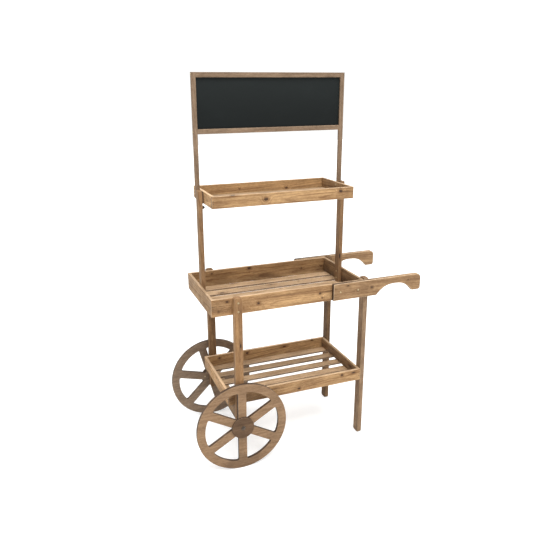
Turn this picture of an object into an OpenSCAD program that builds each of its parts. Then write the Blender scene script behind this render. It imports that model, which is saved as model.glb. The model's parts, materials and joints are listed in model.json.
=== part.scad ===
// Wooden two-wheeled garden cart with three slatted trays, two shaped
// handles and a framed chalkboard on two uprights.
// Frame: +X runs along the tray towards the handles, +Y to the back,
// +Z up. Origin on the ground under the middle of the cart's length.

/* [Main tray] */
// Outside length of the main tray, mm
tray_len = 700; // [560:1:900]
// Outside depth of the main tray, front to back, mm
tray_dep = 390; // [320:1:480]
// Height of the tray's top edge above the ground, mm
tray_top = 772; // [650:1:900]
// Height of the tray boards, mm
tray_high = 75; // [55:1:110]
// Thickness of all tray and shelf boards, mm
board = 12; // [10:0.5:18]

/* [Slats] */
// Width of one floor slat of the main tray, mm
tray_slat_w = 49; // [30:1:58]
// Width of one floor slat of the lower shelf, mm
low_slat_w = 42; // [30:1:55]
// Width of one floor slat of the upper shelf, mm
up_slat_w = 40; // [30:1:52]
// Thickness of one floor slat, mm
slat_t = 8; // [6:0.5:12]
// Number of slats in the main tray and in the lower shelf
slat_n = 5; // [4:1:6]
// Number of slats in the upper shelf
up_slat_n = 4; // [3:1:5]
// Open strip between an outermost tray slat and the long board beside it, mm
tray_margin = 20; // [4:0.5:30]
// Open strip between an outermost shelf slat and the long board beside it, mm
shelf_margin = 12; // [4:0.5:20]
// Depth of the rebate in the end boards that the slat ends sit in, mm
rebate = 6; // [4:0.5:8]

/* [Lower shelf] */
// Height of the lower shelf's bottom edge above the ground, mm
low_bottom = 283; // [270:1:340]
// Height of the lower shelf's boards, mm
low_high = 55; // [40:1:80]
// Distance of the shelf's wheel end from the tray's wheel end, mm
low_inset = 62; // [30:1:80]

/* [Upper shelf] */
// Height of the upper shelf's bottom edge above the ground, mm
up_bottom = 1126; // [1000:1:1250]
// Height of the upper shelf's boards, mm
up_high = 50; // [40:1:70]
// Outside depth of the upper shelf, mm
up_dep = 293; // [240:1:330]
// Distance of the upper shelf's middle behind the tray's middle, mm
up_shift = 16; // [0:1:25]

/* [Posts] */
// Width of a post along the cart, mm
post_w = 19; // [16:0.5:26]
// Depth of a post, front to back, mm
post_d = 35; // [28:0.5:45]
// How far the post stands above the upper shelf's top edge, mm
post_rise = 4; // [0:0.5:12]
// Distance of the posts' middle behind the tray's middle, mm
post_shift = 12; // [0:1:25]
// Thickness of the spacer between a post and the upper shelf, mm
spacer_t = 5; // [3:0.5:10]

/* [Chalkboard] */
// Height of the chalkboard's top edge above the ground, mm
sign_top = 1642; // [1500:1:1800]
// Outside height of the chalkboard frame, mm
sign_high = 239; // [180:1:320]
// Thickness of the chalkboard frame, front to back, mm
sign_t = 12; // [10:0.5:18]
// Height of the top and bottom rails, mm
rail_h = 20; // [16:0.5:30]
// Thickness of the chalkboard panel, mm
panel_t = 4; // [3:0.5:6]
// Width of the rebate the panel sits in, mm
panel_lap = 6; // [4:0.5:9]
// Length of stile lapped behind the top of the post, mm
lap = 38; // [30:1:60]

/* [Legs] */
// Width of a wheel-end leg along the cart, mm
wheel_leg_w = 35; // [32:0.5:45]
// Thickness of a wheel-end leg, front to back, mm
wheel_leg_t = 25; // [20:0.5:32]
// Distance of the wheel-end legs from the tray's wheel end, mm
wheel_leg_in = 89; // [82:1:120]
// How far the wheel-end legs stand above the tray's top edge, mm
wheel_leg_rise = 4; // [0:0.5:10]
// Length of leg below the middle of the axle, mm
wheel_leg_drop = 34; // [24:1:44]
// Thickness of a handle-end leg along the cart, mm
foot_leg_t = 20; // [16:0.5:28]
// Depth of a handle-end leg, front to back, mm
foot_leg_d = 42; // [34:0.5:55]
// How far the handle-end legs stand above the tray's top edge, mm
foot_leg_rise = 7; // [0:0.5:12]
// Corner radius of the leg ends, mm
leg_r = 10; // [4:0.5:14]

/* [Handles] */
// Thickness of a handle, front to back, mm
handle_t = 20; // [16:0.5:28]
// Length of a handle, mm
handle_len = 440; // [360:1:520]
// Length of handle beyond the tray's end board, mm
handle_out = 280; // [220:1:340]
// How far the handle sits above the tray boards, mm
handle_lift = 3; // [0:0.5:6]
// Height of the hand hollow in the underside, mm
grip_high = 44; // [34:1:50]
// Length of the hand hollow, mm
grip_len = 185; // [150:1:220]
// Length of the hooked tip beyond the hand hollow, mm
tip_len = 43; // [28:1:50]
// Radius of the tip's upper corner, mm
tip_r_top = 22; // [10:1:30]
// Radius of the tip's lower corner, mm
tip_r_low = 12; // [6:1:16]

/* [Wheels] */
// Diameter of a wheel, mm
wheel_d = 400; // [340:1:460]
// Thickness of a wheel, mm
wheel_t = 15; // [12:0.5:22]
// Width of the wheel's rim, mm
rim_w = 36; // [26:1:46]
// Width of a spoke, mm
spoke_w = 37; // [26:1:44]
// Number of spokes
spokes = 6; // [5:1:8]
// Turn of the back wheel against the front wheel, degrees
back_turn = 45; // [0:1:59]
// Diameter of the round hub plate, mm
hub_d = 98; // [84:1:120]
// Thickness of the hub plate, mm
hub_t = 8; // [6:0.5:12]
// Diameter of the axle, mm
axle_d = 16; // [12:0.5:20]
// Length of the bush between a leg and its wheel, mm
bush_len = 12; // [8:0.5:18]
// Outside diameter of the bush, mm
bush_d = 30; // [24:1:34]
// Thickness of the cross beam over the axle, mm
beam_t = 22; // [16:0.5:30]

/* [Fasteners] */
// Shank diameter of the wood screws, mm
screw_d = 4; // [3:0.5:5]
// Head diameter of the wood screws, mm
screw_head_d = 8; // [7:0.5:10]
// Height of the wood screw heads, mm
screw_head_h = 1.6; // [1:0.1:3]
// Shank diameter of the corner nails, mm
nail_d = 2.2; // [1.6:0.1:3]
// Thread diameter of the hub bolts and shelf bolts, mm
bolt_d = 6; // [5:0.5:8]
// Diameter of the hub washers, mm
washer_d = 18; // [14:0.5:24]
// Thickness of the hub washers, mm
washer_t = 1.6; // [1:0.1:3]

/* [Hidden] */
eps = 1;                  // overcut of a cut past the face it opens
run_gap = 0.05;           // radial gap of a wheel turning on the axle
side_gap = 0.4;           // end float of a wheel on the axle
shank_gap = 0.1;          // radial gap round a shank that does not turn
panel_gap = 0.4;          // gap round the chalkboard panel
nail_head_h = 0.4;        // height of a nail head
axle_z = wheel_d / 2;

// main tray, placed so that wheels and handle tips lie evenly about x = 0
wheel_reach = wheel_d / 2 - wheel_leg_in - wheel_leg_w / 2;
x0 = (wheel_reach - tray_len - handle_out) / 2;
x1 = x0 + tray_len;
y0 = -tray_dep / 2;
y1 = tray_dep / 2;
tray_bottom = tray_top - tray_high;
// lower shelf
lx0 = x0 + low_inset;
// posts and upper shelf
px0 = x0 + board;
px1 = x1 - board;
post_y0 = post_shift - post_d / 2;
post_y1 = post_shift + post_d / 2;
up_top = up_bottom + up_high;
post_top = up_top + post_rise;
post_foot = tray_bottom + slat_t;
ux0 = px0 + post_w + spacer_t;
ux1 = px1 - post_w - spacer_t;
uy0 = up_shift - up_dep / 2;
uy1 = up_shift + up_dep / 2;
// chalkboard
stile_foot = post_top - lap;
sign_bottom = sign_top - sign_high;
sign_y0 = post_y1;
sign_y1 = post_y1 + sign_t;
// legs, axle and wheels
wlx0 = x0 + wheel_leg_in;
axle_x = wlx0 + wheel_leg_w / 2;
wleg_y = tray_dep / 2 + wheel_leg_t;
wheel_y = wleg_y + bush_len + side_gap;
wheel_out_y = wheel_y + wheel_t;
cap_out_y = wheel_out_y + hub_t;
axle_half = wheel_out_y;
beam_z0 = axle_z + axle_d / 2;
beam_high = low_bottom - beam_z0;
bolt_seat_y = cap_out_y + side_gap;
bolt_grip = 18;           // length of hub bolt inside the axle
// handles
hx0 = x1 + handle_out - handle_len;
hx1 = x1 + handle_out;
hz0 = tray_bottom + handle_lift;
hz1 = tray_top + handle_lift;

wood = "#a87848";
dark_wood = "#7a5636";
slate = "#2b302f";
steel = "#8a8a86";

// ---------- shared pieces ----------

// block from its low corner to its high corner
module block(a, b) {
    translate(a) cube([b[0] - a[0], b[1] - a[1], b[2] - a[2]]);
}

// rod along X, Y or Z from a point
module rod_x(p, l, d) { translate(p) rotate([0, 90, 0]) cylinder(h = l, d = d, $fn = 48); }
module rod_y(p, l, d) { translate(p) rotate([-90, 0, 0]) cylinder(h = l, d = d, $fn = 48); }

// wood screw with its head on the plane through p, driven along +Y (s = 1)
// or -Y (s = -1)
module screw_y(p, s, l) {
    rod_y([p[0], s > 0 ? p[1] - screw_head_h : p[1], p[2]], screw_head_h, screw_head_d);
    rod_y([p[0], s > 0 ? p[1] : p[1] - l, p[2]], l, screw_d);
}
module screw_x(p, s, l) {
    rod_x([s > 0 ? p[0] - screw_head_h : p[0], p[1], p[2]], screw_head_h, screw_head_d);
    rod_x([s > 0 ? p[0] : p[0] - l, p[1], p[2]], l, screw_d);
}
// nail with a small flat head on the plane through p, driven along Y
module nail_y(p, s, l) {
    rod_y([p[0], s > 0 ? p[1] - nail_head_h : p[1], p[2]], nail_head_h, nail_d * 1.6);
    rod_y([p[0], s > 0 ? p[1] : p[1] - l, p[2]], l, nail_d);
}
module nail_hole_y(p, s, l) {
    rod_y([p[0], s > 0 ? p[1] - eps : p[1] - l - shank_gap, p[2]], l + eps + shank_gap,
          nail_d + 2 * shank_gap);
}
// hole for the shank of such a screw
module hole_y(p, s, l) {
    rod_y([p[0], s > 0 ? p[1] - eps : p[1] - l - shank_gap, p[2]], l + eps + shank_gap,
          screw_d + 2 * shank_gap);
}
module hole_x(p, s, l) {
    rod_x([s > 0 ? p[0] - eps : p[0] - l - shank_gap, p[1], p[2]], l + eps + shank_gap,
          screw_d + 2 * shank_gap);
}

// ---------- fastener places: [point, way, length] ----------

screw_parts = [0.26, 0.76];   // heights of the leg screws, as parts of a board's height
nail_parts = [0.4, 0.6];      // heights of the corner nails, clear of those screws
leg_screw_z = [for (p = screw_parts)
    each [tray_bottom + tray_high * p, low_bottom + low_high * p]];
leg_screw_len = wheel_leg_t + board - 2;
function leg_screw_at() = [for (z = leg_screw_z, s = [1, -1])
    [[axle_x, -s * wleg_y, z], s, leg_screw_len]];

handle_screw_x = [hx0 + 32, x1 - 42];
handle_screw_z = (hz0 + hz1) / 2;
handle_screw_len = handle_t + board - 2;
function handle_screw_at() = [for (x = handle_screw_x, s = [1, -1])
    [[x, -s * (tray_dep / 2 + handle_t), handle_screw_z], s, handle_screw_len]];

// long boards into the end boards, two at each corner of each tray
corner_len = 30;
function corner_at(xa, xb, ya, yb, z, h) = [
    for (x = [xa + board / 2, xb - board / 2], dz = h * nail_parts)
        each [[[x, ya, z + dz], 1, corner_len], [[x, yb, z + dz], -1, corner_len]]];
function corner_nail_at() = concat(
    corner_at(x0, x1, y0, y1, tray_bottom, tray_high),
    corner_at(lx0, x1, y0, y1, low_bottom, low_high),
    corner_at(ux0, ux1, uy0, uy1, up_bottom, up_high));
// only corners whose outer face is free take a nail
function corner_free(c) = c[0][0] < x1 - 2 * board || c[0][2] < tray_bottom
    || c[0][2] > tray_top;

// posts into the tray's end boards, from inside
post_screw_len = board + post_w - 3;
post_screw_z = [tray_bottom + tray_high * 0.36, tray_bottom + tray_high * 0.78];
function post_screw_at() = [for (z = post_screw_z)
    each [[[px0 + post_w, post_shift, z], -1, post_screw_len],
          [[px1 - post_w, post_shift, z], 1, post_screw_len]]];

// upper end boards through the spacers into the posts, from inside
shelf_screw_len = board + spacer_t + post_w - 3;
shelf_screw_z = [up_bottom + up_high * 0.36, up_bottom + up_high * 0.76];
function shelf_screw_at() = [for (z = shelf_screw_z)
    each [[[ux0 + board, post_shift, z], -1, shelf_screw_len],
          [[ux1 - board, post_shift, z], 1, shelf_screw_len]]];

// stiles into the posts, from behind
sign_screw_len = sign_t + post_d - 12;
sign_screw_z = [stile_foot + lap * 0.25, stile_foot + lap * 0.75];
post_mid_x = [px0 + post_w / 2, px1 - post_w / 2];
function sign_screw_at() = [for (x = post_mid_x, z = sign_screw_z)
    [[x, sign_y1, z], -1, sign_screw_len]];

// hanger bolts in the posts' inner sides, just under the upper shelf
shelf_bolt_z = up_bottom - 18;
shelf_nut_d = 14;
shelf_nut_t = 9;
shelf_bolt_wall = 5;      // wood left between the bolt's end and the post's outer side

module nail_holes(list) { for (c = list) nail_hole_y(c[0], c[1], c[2]); }
module holes_y(list) { for (c = list) hole_y(c[0], c[1], c[2]); }
module holes_x(list) { for (c = list) hole_x(c[0], c[1], c[2]); }

// ---------- boards ----------

// long board between two X planes, its outer face on y = ya or yb
module long_board(xa, xb, y, z, h, front) {
    block([xa, front ? y : y - board, z], [xb, front ? y + board : y, z + h]);
}
// end board between the long boards, rebated for the slat ends; the rebate
// is on its +X side when in_right is true
module end_board(x, ya, yb, z, h, in_right) {
    difference() {
        block([x, ya + board, z], [x + board, yb - board, z + h]);
        block([in_right ? x + board - rebate : x - eps, ya, z - eps],
              [in_right ? x + board + eps : x + rebate, yb, z + slat_t]);
    }
}
// n slats of width w, evenly spaced, with an open strip beside each long board
module slat_set(xa, xb, ya, yb, z, n, w, strip) {
    span = (yb - ya) - 2 * board - 2 * strip - w;
    for (i = [0 : n - 1])
        block([xa + board - rebate, ya + board + strip + i * span / (n - 1), z],
              [xb - board + rebate, ya + board + strip + i * span / (n - 1) + w, z + slat_t]);
}

module tray_front_board() {
    color(wood) difference() {
        long_board(x0, x1, y0, tray_bottom, tray_high, true);
        holes_y(leg_screw_at());
        holes_y(handle_screw_at());
        nail_holes(corner_nail_at());
    }
}
module tray_back_board() {
    color(wood) difference() {
        long_board(x0, x1, y1, tray_bottom, tray_high, false);
        holes_y(leg_screw_at());
        holes_y(handle_screw_at());
        nail_holes(corner_nail_at());
    }
}
module tray_left_board() {
    color(wood) difference() {
        end_board(x0, y0, y1, tray_bottom, tray_high, true);
        nail_holes(corner_nail_at());
        holes_x(post_screw_at());
    }
}
module tray_right_board() {
    color(wood) difference() {
        end_board(x1 - board, y0, y1, tray_bottom, tray_high, false);
        nail_holes(corner_nail_at());
        holes_x(post_screw_at());
        holes_x(foot_screw_at());
    }
}
module tray_slats() {
    color(wood) slat_set(x0, x1, y0, y1, tray_bottom, slat_n, tray_slat_w, tray_margin);
}

module lower_front_board() {
    color(wood) difference() {
        long_board(lx0, x1, y0, low_bottom, low_high, true);
        holes_y(leg_screw_at());
        nail_holes(corner_nail_at());
    }
}
module lower_back_board() {
    color(wood) difference() {
        long_board(lx0, x1, y1, low_bottom, low_high, false);
        holes_y(leg_screw_at());
        nail_holes(corner_nail_at());
    }
}
module lower_left_board() {
    color(wood) difference() {
        end_board(lx0, y0, y1, low_bottom, low_high, true);
        nail_holes(corner_nail_at());
    }
}
module lower_right_board() {
    color(wood) difference() {
        end_board(x1 - board, y0, y1, low_bottom, low_high, false);
        nail_holes(corner_nail_at());
        holes_x(foot_screw_at());
    }
}
module lower_slats() {
    color(wood) slat_set(lx0, x1, y0, y1, low_bottom, slat_n, low_slat_w, shelf_margin);
}

module upper_front_board() {
    color(wood) difference() {
        long_board(ux0, ux1, uy0, up_bottom, up_high, true);
        nail_holes(corner_nail_at());
    }
}
module upper_back_board() {
    color(wood) difference() {
        long_board(ux0, ux1, uy1, up_bottom, up_high, false);
        nail_holes(corner_nail_at());
    }
}
module upper_left_board() {
    color(wood) difference() {
        end_board(ux0, uy0, uy1, up_bottom, up_high, true);
        nail_holes(corner_nail_at());
        holes_x(shelf_screw_at());
    }
}
module upper_right_board() {
    color(wood) difference() {
        end_board(ux1 - board, uy0, uy1, up_bottom, up_high, false);
        nail_holes(corner_nail_at());
        holes_x(shelf_screw_at());
    }
}
module upper_slats() {
    color(wood)
        slat_set(ux0, ux1, uy0, uy1, up_bottom, up_slat_n, up_slat_w, shelf_margin);
}

// ---------- legs ----------

// wheel-end leg: rounded ends in the XZ plane, bored for the axle
module wheel_leg(y) {
    difference() {
        translate([wlx0, y + wheel_leg_t, 0]) rotate([90, 0, 0])
            linear_extrude(height = wheel_leg_t)
                round_bar(wheel_leg_w, axle_z - wheel_leg_drop, tray_top + wheel_leg_rise, leg_r);
        rod_y([axle_x, y - eps, axle_z], wheel_leg_t + 2 * eps, axle_d + 2 * shank_gap);
        holes_y(leg_screw_at());
        holes_y(beam_screw_at());
    }
}
// upright bar from z0 to z1 with rounded corners, drawn in X and Y
module round_bar(w, z0, z1, r) {
    translate([r, z0]) square([w - 2 * r, z1 - z0]);
    translate([0, z0 + r]) square([w, z1 - z0 - 2 * r]);
    for (x = [r, w - r], z = [z0 + r, z1 - r]) translate([x, z]) circle(r = r, $fn = 48);
}
module leg_front_left() { color(wood) wheel_leg(-wleg_y); }
module leg_back_left() { color(wood) wheel_leg(tray_dep / 2); }

// handle-end leg: rounded ends in the YZ plane
foot_screw_len = foot_leg_t + board - 2;
foot_screw_z = [tray_bottom + tray_high * 0.3, tray_bottom + tray_high * 0.75,
                low_bottom + low_high * 0.3, low_bottom + low_high * 0.75];
function foot_screw_at() = [for (z = foot_screw_z, s = [1, -1])
    [[x1 + foot_leg_t, s * (tray_dep / 2 - board - (foot_leg_d - board) / 2), z], -1,
     foot_screw_len]];
module foot_leg(y) {
    difference() {
        translate([x1, y, 0]) rotate([90, 0, 90]) linear_extrude(height = foot_leg_t)
            round_bar(foot_leg_d, 0, tray_top + foot_leg_rise, leg_r);
        holes_x(foot_screw_at());
    }
}
module leg_front_right() { color(wood) foot_leg(y0); }
module leg_back_right() { color(wood) foot_leg(y1 - foot_leg_d); }

// ---------- handles ----------

grip_x1 = hx1 - tip_len;
grip_x0 = grip_x1 - grip_len;
grip_mid = (grip_x0 + grip_x1) / 2;
grip_power = 2.6;         // shape of the hollow: flat in the middle
function arc(cx, cz, r, a0, a1, n) = [for (i = [0 : n]) let (a = a0 + (a1 - a0) * i / n)
    [cx + r * cos(a), cz + r * sin(a)]];
handle_outline = concat(
    [[hx0, hz0], [hx0, hz1]],
    arc(hx1 - tip_r_top, hz1 - tip_r_top, tip_r_top, 90, 0, 8),
    arc(hx1 - tip_r_low, hz0 + tip_r_low, tip_r_low, 0, -90, 6),
    [for (i = [0 : 24]) let (u = 1 - i / 12)
        [grip_mid + u * grip_len / 2, hz0 + grip_high * (1 - pow(abs(u), grip_power))]]);
module handle(y) {
    difference() {
        translate([0, y + handle_t, 0]) rotate([90, 0, 0])
            linear_extrude(height = handle_t) polygon(handle_outline);
        holes_y(handle_screw_at());
    }
}
module handle_front() { color(wood) handle(y0 - handle_t); }
module handle_back() { color(wood) handle(y1); }

// ---------- posts, spacers and chalkboard ----------

module post(x, in_right) {
    difference() {
        block([x, post_y0, post_foot], [x + post_w, post_y1, post_top]);
        holes_x(post_screw_at());
        holes_x(shelf_screw_at());
        holes_y(sign_screw_at());
        rod_x([in_right ? x + shelf_bolt_wall - shank_gap : x - eps, post_shift, shelf_bolt_z],
              post_w - shelf_bolt_wall + shank_gap + eps, bolt_d + 2 * shank_gap);
    }
}
module post_left() { color(wood) post(px0, true); }
module post_right() { color(wood) post(px1 - post_w, false); }

module shelf_spacers() {
    color(dark_wood) difference() {
        for (x = [px0 + post_w, ux1])
            block([x, post_y0, up_bottom + 1], [x + spacer_t, post_y1, up_top - 1]);
        holes_x(shelf_screw_at());
    }
}

module stile(x, in_right) {
    difference() {
        block([x, sign_y0, stile_foot], [x + post_w, sign_y1, sign_top]);
        // rebate for the panel, open to the back
        block([in_right ? x + post_w - panel_lap : x - eps, sign_y1 - panel_t,
               sign_bottom + rail_h - panel_lap],
              [in_right ? x + post_w + eps : x + panel_lap, sign_y1 + eps,
               sign_top - rail_h + panel_lap]);
        holes_y(sign_screw_at());
        holes_x(rail_screw_at());
    }
}
module sign_stile_left() { color(wood) stile(px0, true); }
module sign_stile_right() { color(wood) stile(px1 - post_w, false); }

// stiles into the rails, from outside
rail_screw_len = post_w + 22;
rail_mid_z = [sign_top - rail_h / 2, sign_bottom + rail_h / 2];
function rail_screw_at() = [for (z = rail_mid_z)
    each [[[px0, sign_y0 + sign_t / 2 - 1, z], 1, rail_screw_len],
          [[px1, sign_y0 + sign_t / 2 - 1, z], -1, rail_screw_len]]];
module rail(z, in_up) {
    difference() {
        block([px0 + post_w, sign_y0, z], [px1 - post_w, sign_y1, z + rail_h]);
        block([px0, sign_y1 - panel_t, in_up ? z + rail_h - panel_lap : z - eps],
              [px1, sign_y1 + eps, in_up ? z + rail_h + eps : z + panel_lap]);
        holes_x(rail_screw_at());
    }
}
module sign_rail_top() { color(wood) rail(sign_top - rail_h, false); }
module sign_rail_bottom() { color(wood) rail(sign_bottom, true); }
module sign_panel() {
    color(slate) block(
        [px0 + post_w - panel_lap + panel_gap, sign_y1 - panel_t,
         sign_bottom + rail_h - panel_lap + panel_gap],
        [px1 - post_w + panel_lap - panel_gap, sign_y1,
         sign_top - rail_h + panel_lap - panel_gap]);
}

// ---------- axle and wheels ----------

beam_screw_len = wheel_leg_t + 30;
beam_screw_z = [beam_z0 + beam_high / 4, beam_z0 + beam_high * 3 / 4];
function beam_screw_at() = [for (z = beam_screw_z, s = [1, -1])
    [[axle_x, -s * wleg_y, z], s, beam_screw_len]];
module axle_beam() {
    color(dark_wood) difference() {
        block([axle_x - beam_t / 2, y0, beam_z0], [axle_x + beam_t / 2, y1, beam_z0 + beam_high]);
        holes_y(beam_screw_at());
    }
}
module axle() {
    color(steel) difference() {
        rod_y([axle_x, -axle_half, axle_z], 2 * axle_half, axle_d);
        for (s = [1, -1])
            rod_y([axle_x, s > 0 ? -axle_half - eps : axle_half - bolt_grip, axle_z],
                  bolt_grip + eps, bolt_d + 2 * shank_gap);
    }
}
module axle_bushes() {
    color(steel) for (y = [-wleg_y - bush_len, wleg_y]) difference() {
        rod_y([axle_x, y, axle_z], bush_len, bush_d);
        rod_y([axle_x, y - eps, axle_z], bush_len + 2 * eps, axle_d + 2 * shank_gap);
    }
}

// flat spoked wheel cut from one board, its near face on y
module wheel(y, turn) {
    translate([axle_x, y, axle_z]) rotate([-90, 0, 0]) difference() {
        union() {
            difference() {
                cylinder(h = wheel_t, d = wheel_d, $fn = 120);
                translate([0, 0, -eps])
                    cylinder(h = wheel_t + 2 * eps, d = wheel_d - 2 * rim_w, $fn = 120);
            }
            cylinder(h = wheel_t, d = hub_d - 12, $fn = 96);
            for (i = [0 : spokes - 1]) rotate([0, 0, 90 + turn + i * 360 / spokes])
                translate([0, -spoke_w / 2, 0])
                    cube([wheel_d / 2 - rim_w / 2, spoke_w, wheel_t]);
        }
        translate([0, 0, -eps])
            cylinder(h = wheel_t + 2 * eps, d = axle_d + 2 * run_gap, $fn = 96);
        for (a = plate_screw_turns) rotate([0, 0, a + turn]) translate([plate_screw_r, 0, -eps])
            cylinder(h = wheel_t + 2 * eps, d = screw_d + 2 * shank_gap, $fn = 48);
    }
}
module wheel_front() { color(wood) wheel(-wheel_y - wheel_t, 0); }
module wheel_back() { color(wood) wheel(wheel_y, back_turn); }

plate_screw_r = hub_d / 2 - 12;
plate_screw_turns = [30, 150, 270];
plate_screw_bite = hub_t - 2;
// round plate over the hub; its outer face is on the far side of the wheel
module hub_plate(y, turn, outer_up) {
    translate([axle_x, y, axle_z]) rotate([-90, 0, 0]) difference() {
        cylinder(h = hub_t, d = hub_d, $fn = 96);
        translate([0, 0, -eps])
            cylinder(h = hub_t + 2 * eps, d = bolt_d + 2 * side_gap, $fn = 48);
        for (a = plate_screw_turns) rotate([0, 0, a + turn])
            translate([plate_screw_r, 0, outer_up ? -eps : hub_t - plate_screw_bite - shank_gap])
                cylinder(h = plate_screw_bite + eps + shank_gap, d = screw_d + 2 * shank_gap,
                         $fn = 48);
    }
}
module hub_plate_front() { color(dark_wood) hub_plate(-cap_out_y, 0, false); }
module hub_plate_back() { color(dark_wood) hub_plate(wheel_out_y, back_turn, true); }

// screws through the wheel into its hub plate, heads on the wheel's inner face
module hub_plate_screws(s, turn) {
    translate([axle_x, 0, axle_z]) rotate([-90, 0, 0])
        for (a = plate_screw_turns) rotate([0, 0, a + turn]) translate([plate_screw_r, 0, 0]) {
            translate([0, 0, s > 0 ? wheel_y - screw_head_h : -wheel_y])
                cylinder(h = screw_head_h, d = screw_head_d, $fn = 48);
            translate([0, 0, s > 0 ? wheel_y : -wheel_out_y - plate_screw_bite])
                cylinder(h = wheel_t + plate_screw_bite, d = screw_d, $fn = 48);
        }
}
module hub_plate_screws_front() { color(steel) hub_plate_screws(-1, 0); }
module hub_plate_screws_back() { color(steel) hub_plate_screws(1, back_turn); }

// ---------- fasteners ----------

module leg_screws() {
    color(steel) {
        for (c = leg_screw_at()) screw_y(c[0], c[1], c[2]);
        for (c = beam_screw_at()) screw_y(c[0], c[1], c[2]);
        for (c = foot_screw_at()) screw_x(c[0], c[1], c[2]);
    }
}
module handle_screws() { color(steel) for (c = handle_screw_at()) screw_y(c[0], c[1], c[2]); }
module corner_nails() {
    color(steel) for (c = corner_nail_at()) if (corner_free(c)) nail_y(c[0], c[1], c[2]);
}
module post_screws() { color(steel) for (c = post_screw_at()) screw_x(c[0], c[1], c[2]); }
module shelf_screws() { color(steel) for (c = shelf_screw_at()) screw_x(c[0], c[1], c[2]); }
module sign_screws() {
    color(steel) {
        for (c = sign_screw_at()) screw_y(c[0], c[1], c[2]);
        for (c = rail_screw_at()) screw_x(c[0], c[1], c[2]);
    }
}
// bolt screwed into each post's inner side under the upper shelf, with its nut
module shelf_bolts() {
    mid = (px0 + px1) / 2;
    color(steel) translate([mid, 0, 0]) for (m = [0, 1]) mirror([m, 0, 0]) {
        rod_x([px0 - mid + shelf_bolt_wall, post_shift, shelf_bolt_z],
              post_w - shelf_bolt_wall + shelf_nut_t + 4, bolt_d);
        translate([px0 - mid + post_w, post_shift, shelf_bolt_z]) rotate([0, 90, 0])
            cylinder(h = shelf_nut_t, d = shelf_nut_d, $fn = 6);
    }
}
module hub_washers() {
    color(steel) for (y = [-bolt_seat_y - washer_t, bolt_seat_y]) difference() {
        rod_y([axle_x, y, axle_z], washer_t, washer_d);
        rod_y([axle_x, y - eps, axle_z], washer_t + 2 * eps, bolt_d + 2 * shank_gap);
    }
}
bolt_head_t = 4;
bolt_head_d = 11;
module hub_bolts() {
    color(steel) for (m = [0, 1]) mirror([0, m, 0]) {
        rod_y([axle_x, -bolt_seat_y - washer_t, axle_z],
              bolt_seat_y + washer_t - axle_half + bolt_grip, bolt_d);
        translate([axle_x, -bolt_seat_y - washer_t - bolt_head_t, axle_z]) rotate([-90, 0, 0])
            cylinder(h = bolt_head_t, d = bolt_head_d, $fn = 6);
    }
}

tray_front_board();
tray_back_board();
tray_left_board();
tray_right_board();
tray_slats();
lower_front_board();
lower_back_board();
lower_left_board();
lower_right_board();
lower_slats();
upper_front_board();
upper_back_board();
upper_left_board();
upper_right_board();
upper_slats();
leg_front_left();
leg_back_left();
leg_front_right();
leg_back_right();
handle_front();
handle_back();
post_left();
post_right();
shelf_spacers();
sign_stile_left();
sign_stile_right();
sign_rail_top();
sign_rail_bottom();
sign_panel();
axle_beam();
axle();
axle_bushes();
leg_screws();
handle_screws();
corner_nails();
post_screws();
shelf_screws();
sign_screws();
shelf_bolts();
hub_bolts();
hub_washers();
wheel_front();
hub_plate_front();
hub_plate_screws_front();
wheel_back();
hub_plate_back();
hub_plate_screws_back();
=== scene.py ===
import json
import logging
import math
from dataclasses import dataclass, field, replace
from enum import Enum

import bpy
import numpy as np
from mathutils import Matrix, Vector
from mathutils.geometry import tessellate_polygon

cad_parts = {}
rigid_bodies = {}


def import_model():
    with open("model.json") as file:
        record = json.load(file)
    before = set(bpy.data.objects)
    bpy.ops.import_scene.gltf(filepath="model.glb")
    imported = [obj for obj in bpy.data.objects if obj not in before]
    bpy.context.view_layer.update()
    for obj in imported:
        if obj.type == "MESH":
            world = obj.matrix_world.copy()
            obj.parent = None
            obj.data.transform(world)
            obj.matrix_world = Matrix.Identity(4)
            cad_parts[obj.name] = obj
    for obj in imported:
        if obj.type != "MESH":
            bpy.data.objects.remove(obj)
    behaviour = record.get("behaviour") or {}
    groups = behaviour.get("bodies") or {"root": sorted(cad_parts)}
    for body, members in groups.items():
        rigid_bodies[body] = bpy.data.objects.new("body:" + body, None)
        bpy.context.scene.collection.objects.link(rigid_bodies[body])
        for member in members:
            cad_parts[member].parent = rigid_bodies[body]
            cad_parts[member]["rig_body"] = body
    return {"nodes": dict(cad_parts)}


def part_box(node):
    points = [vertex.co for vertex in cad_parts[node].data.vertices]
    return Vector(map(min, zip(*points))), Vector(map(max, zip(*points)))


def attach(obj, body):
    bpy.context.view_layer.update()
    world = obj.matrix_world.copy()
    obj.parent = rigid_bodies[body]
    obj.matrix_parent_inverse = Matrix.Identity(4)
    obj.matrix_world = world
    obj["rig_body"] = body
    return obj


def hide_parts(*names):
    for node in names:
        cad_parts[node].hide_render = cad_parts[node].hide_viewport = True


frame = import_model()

LOG = logging.getLogger("garden_cart")
MM = 0.001
# How far before a corner a board's outline starts to round, in metres.
EASING = 0.0015
# How far planed edges wander inwards.
WAVER = 0.0004
# How far in from an edge its wear may reach.
WEAR_BAND = 0.004
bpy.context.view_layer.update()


class Grain(Enum):
    """Which way a timber's fibres run in the cart's frame."""

    ALONG = 0
    ACROSS = 1
    UPRIGHT = 2


class Facing(Enum):
    """The plane a sawn outline is drawn in; its thickness runs along the third axis."""

    FRONT = (0, 2, 1)
    SIDE = (1, 2, 0)
    TOP = (0, 1, 2)


# ---------------------------------------------------------------- shapes


@dataclass
class Surface:
    """Points, faces and per-point values of one mesh under construction.

    Args:
        points: array of shape (n, 3), in metres.
        faces: list of index tuples, outward side by the right-hand rule.
        values: named per-point arrays, of shape (n,) or (n, 3).
    """

    points: np.ndarray
    faces: list
    values: dict


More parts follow.
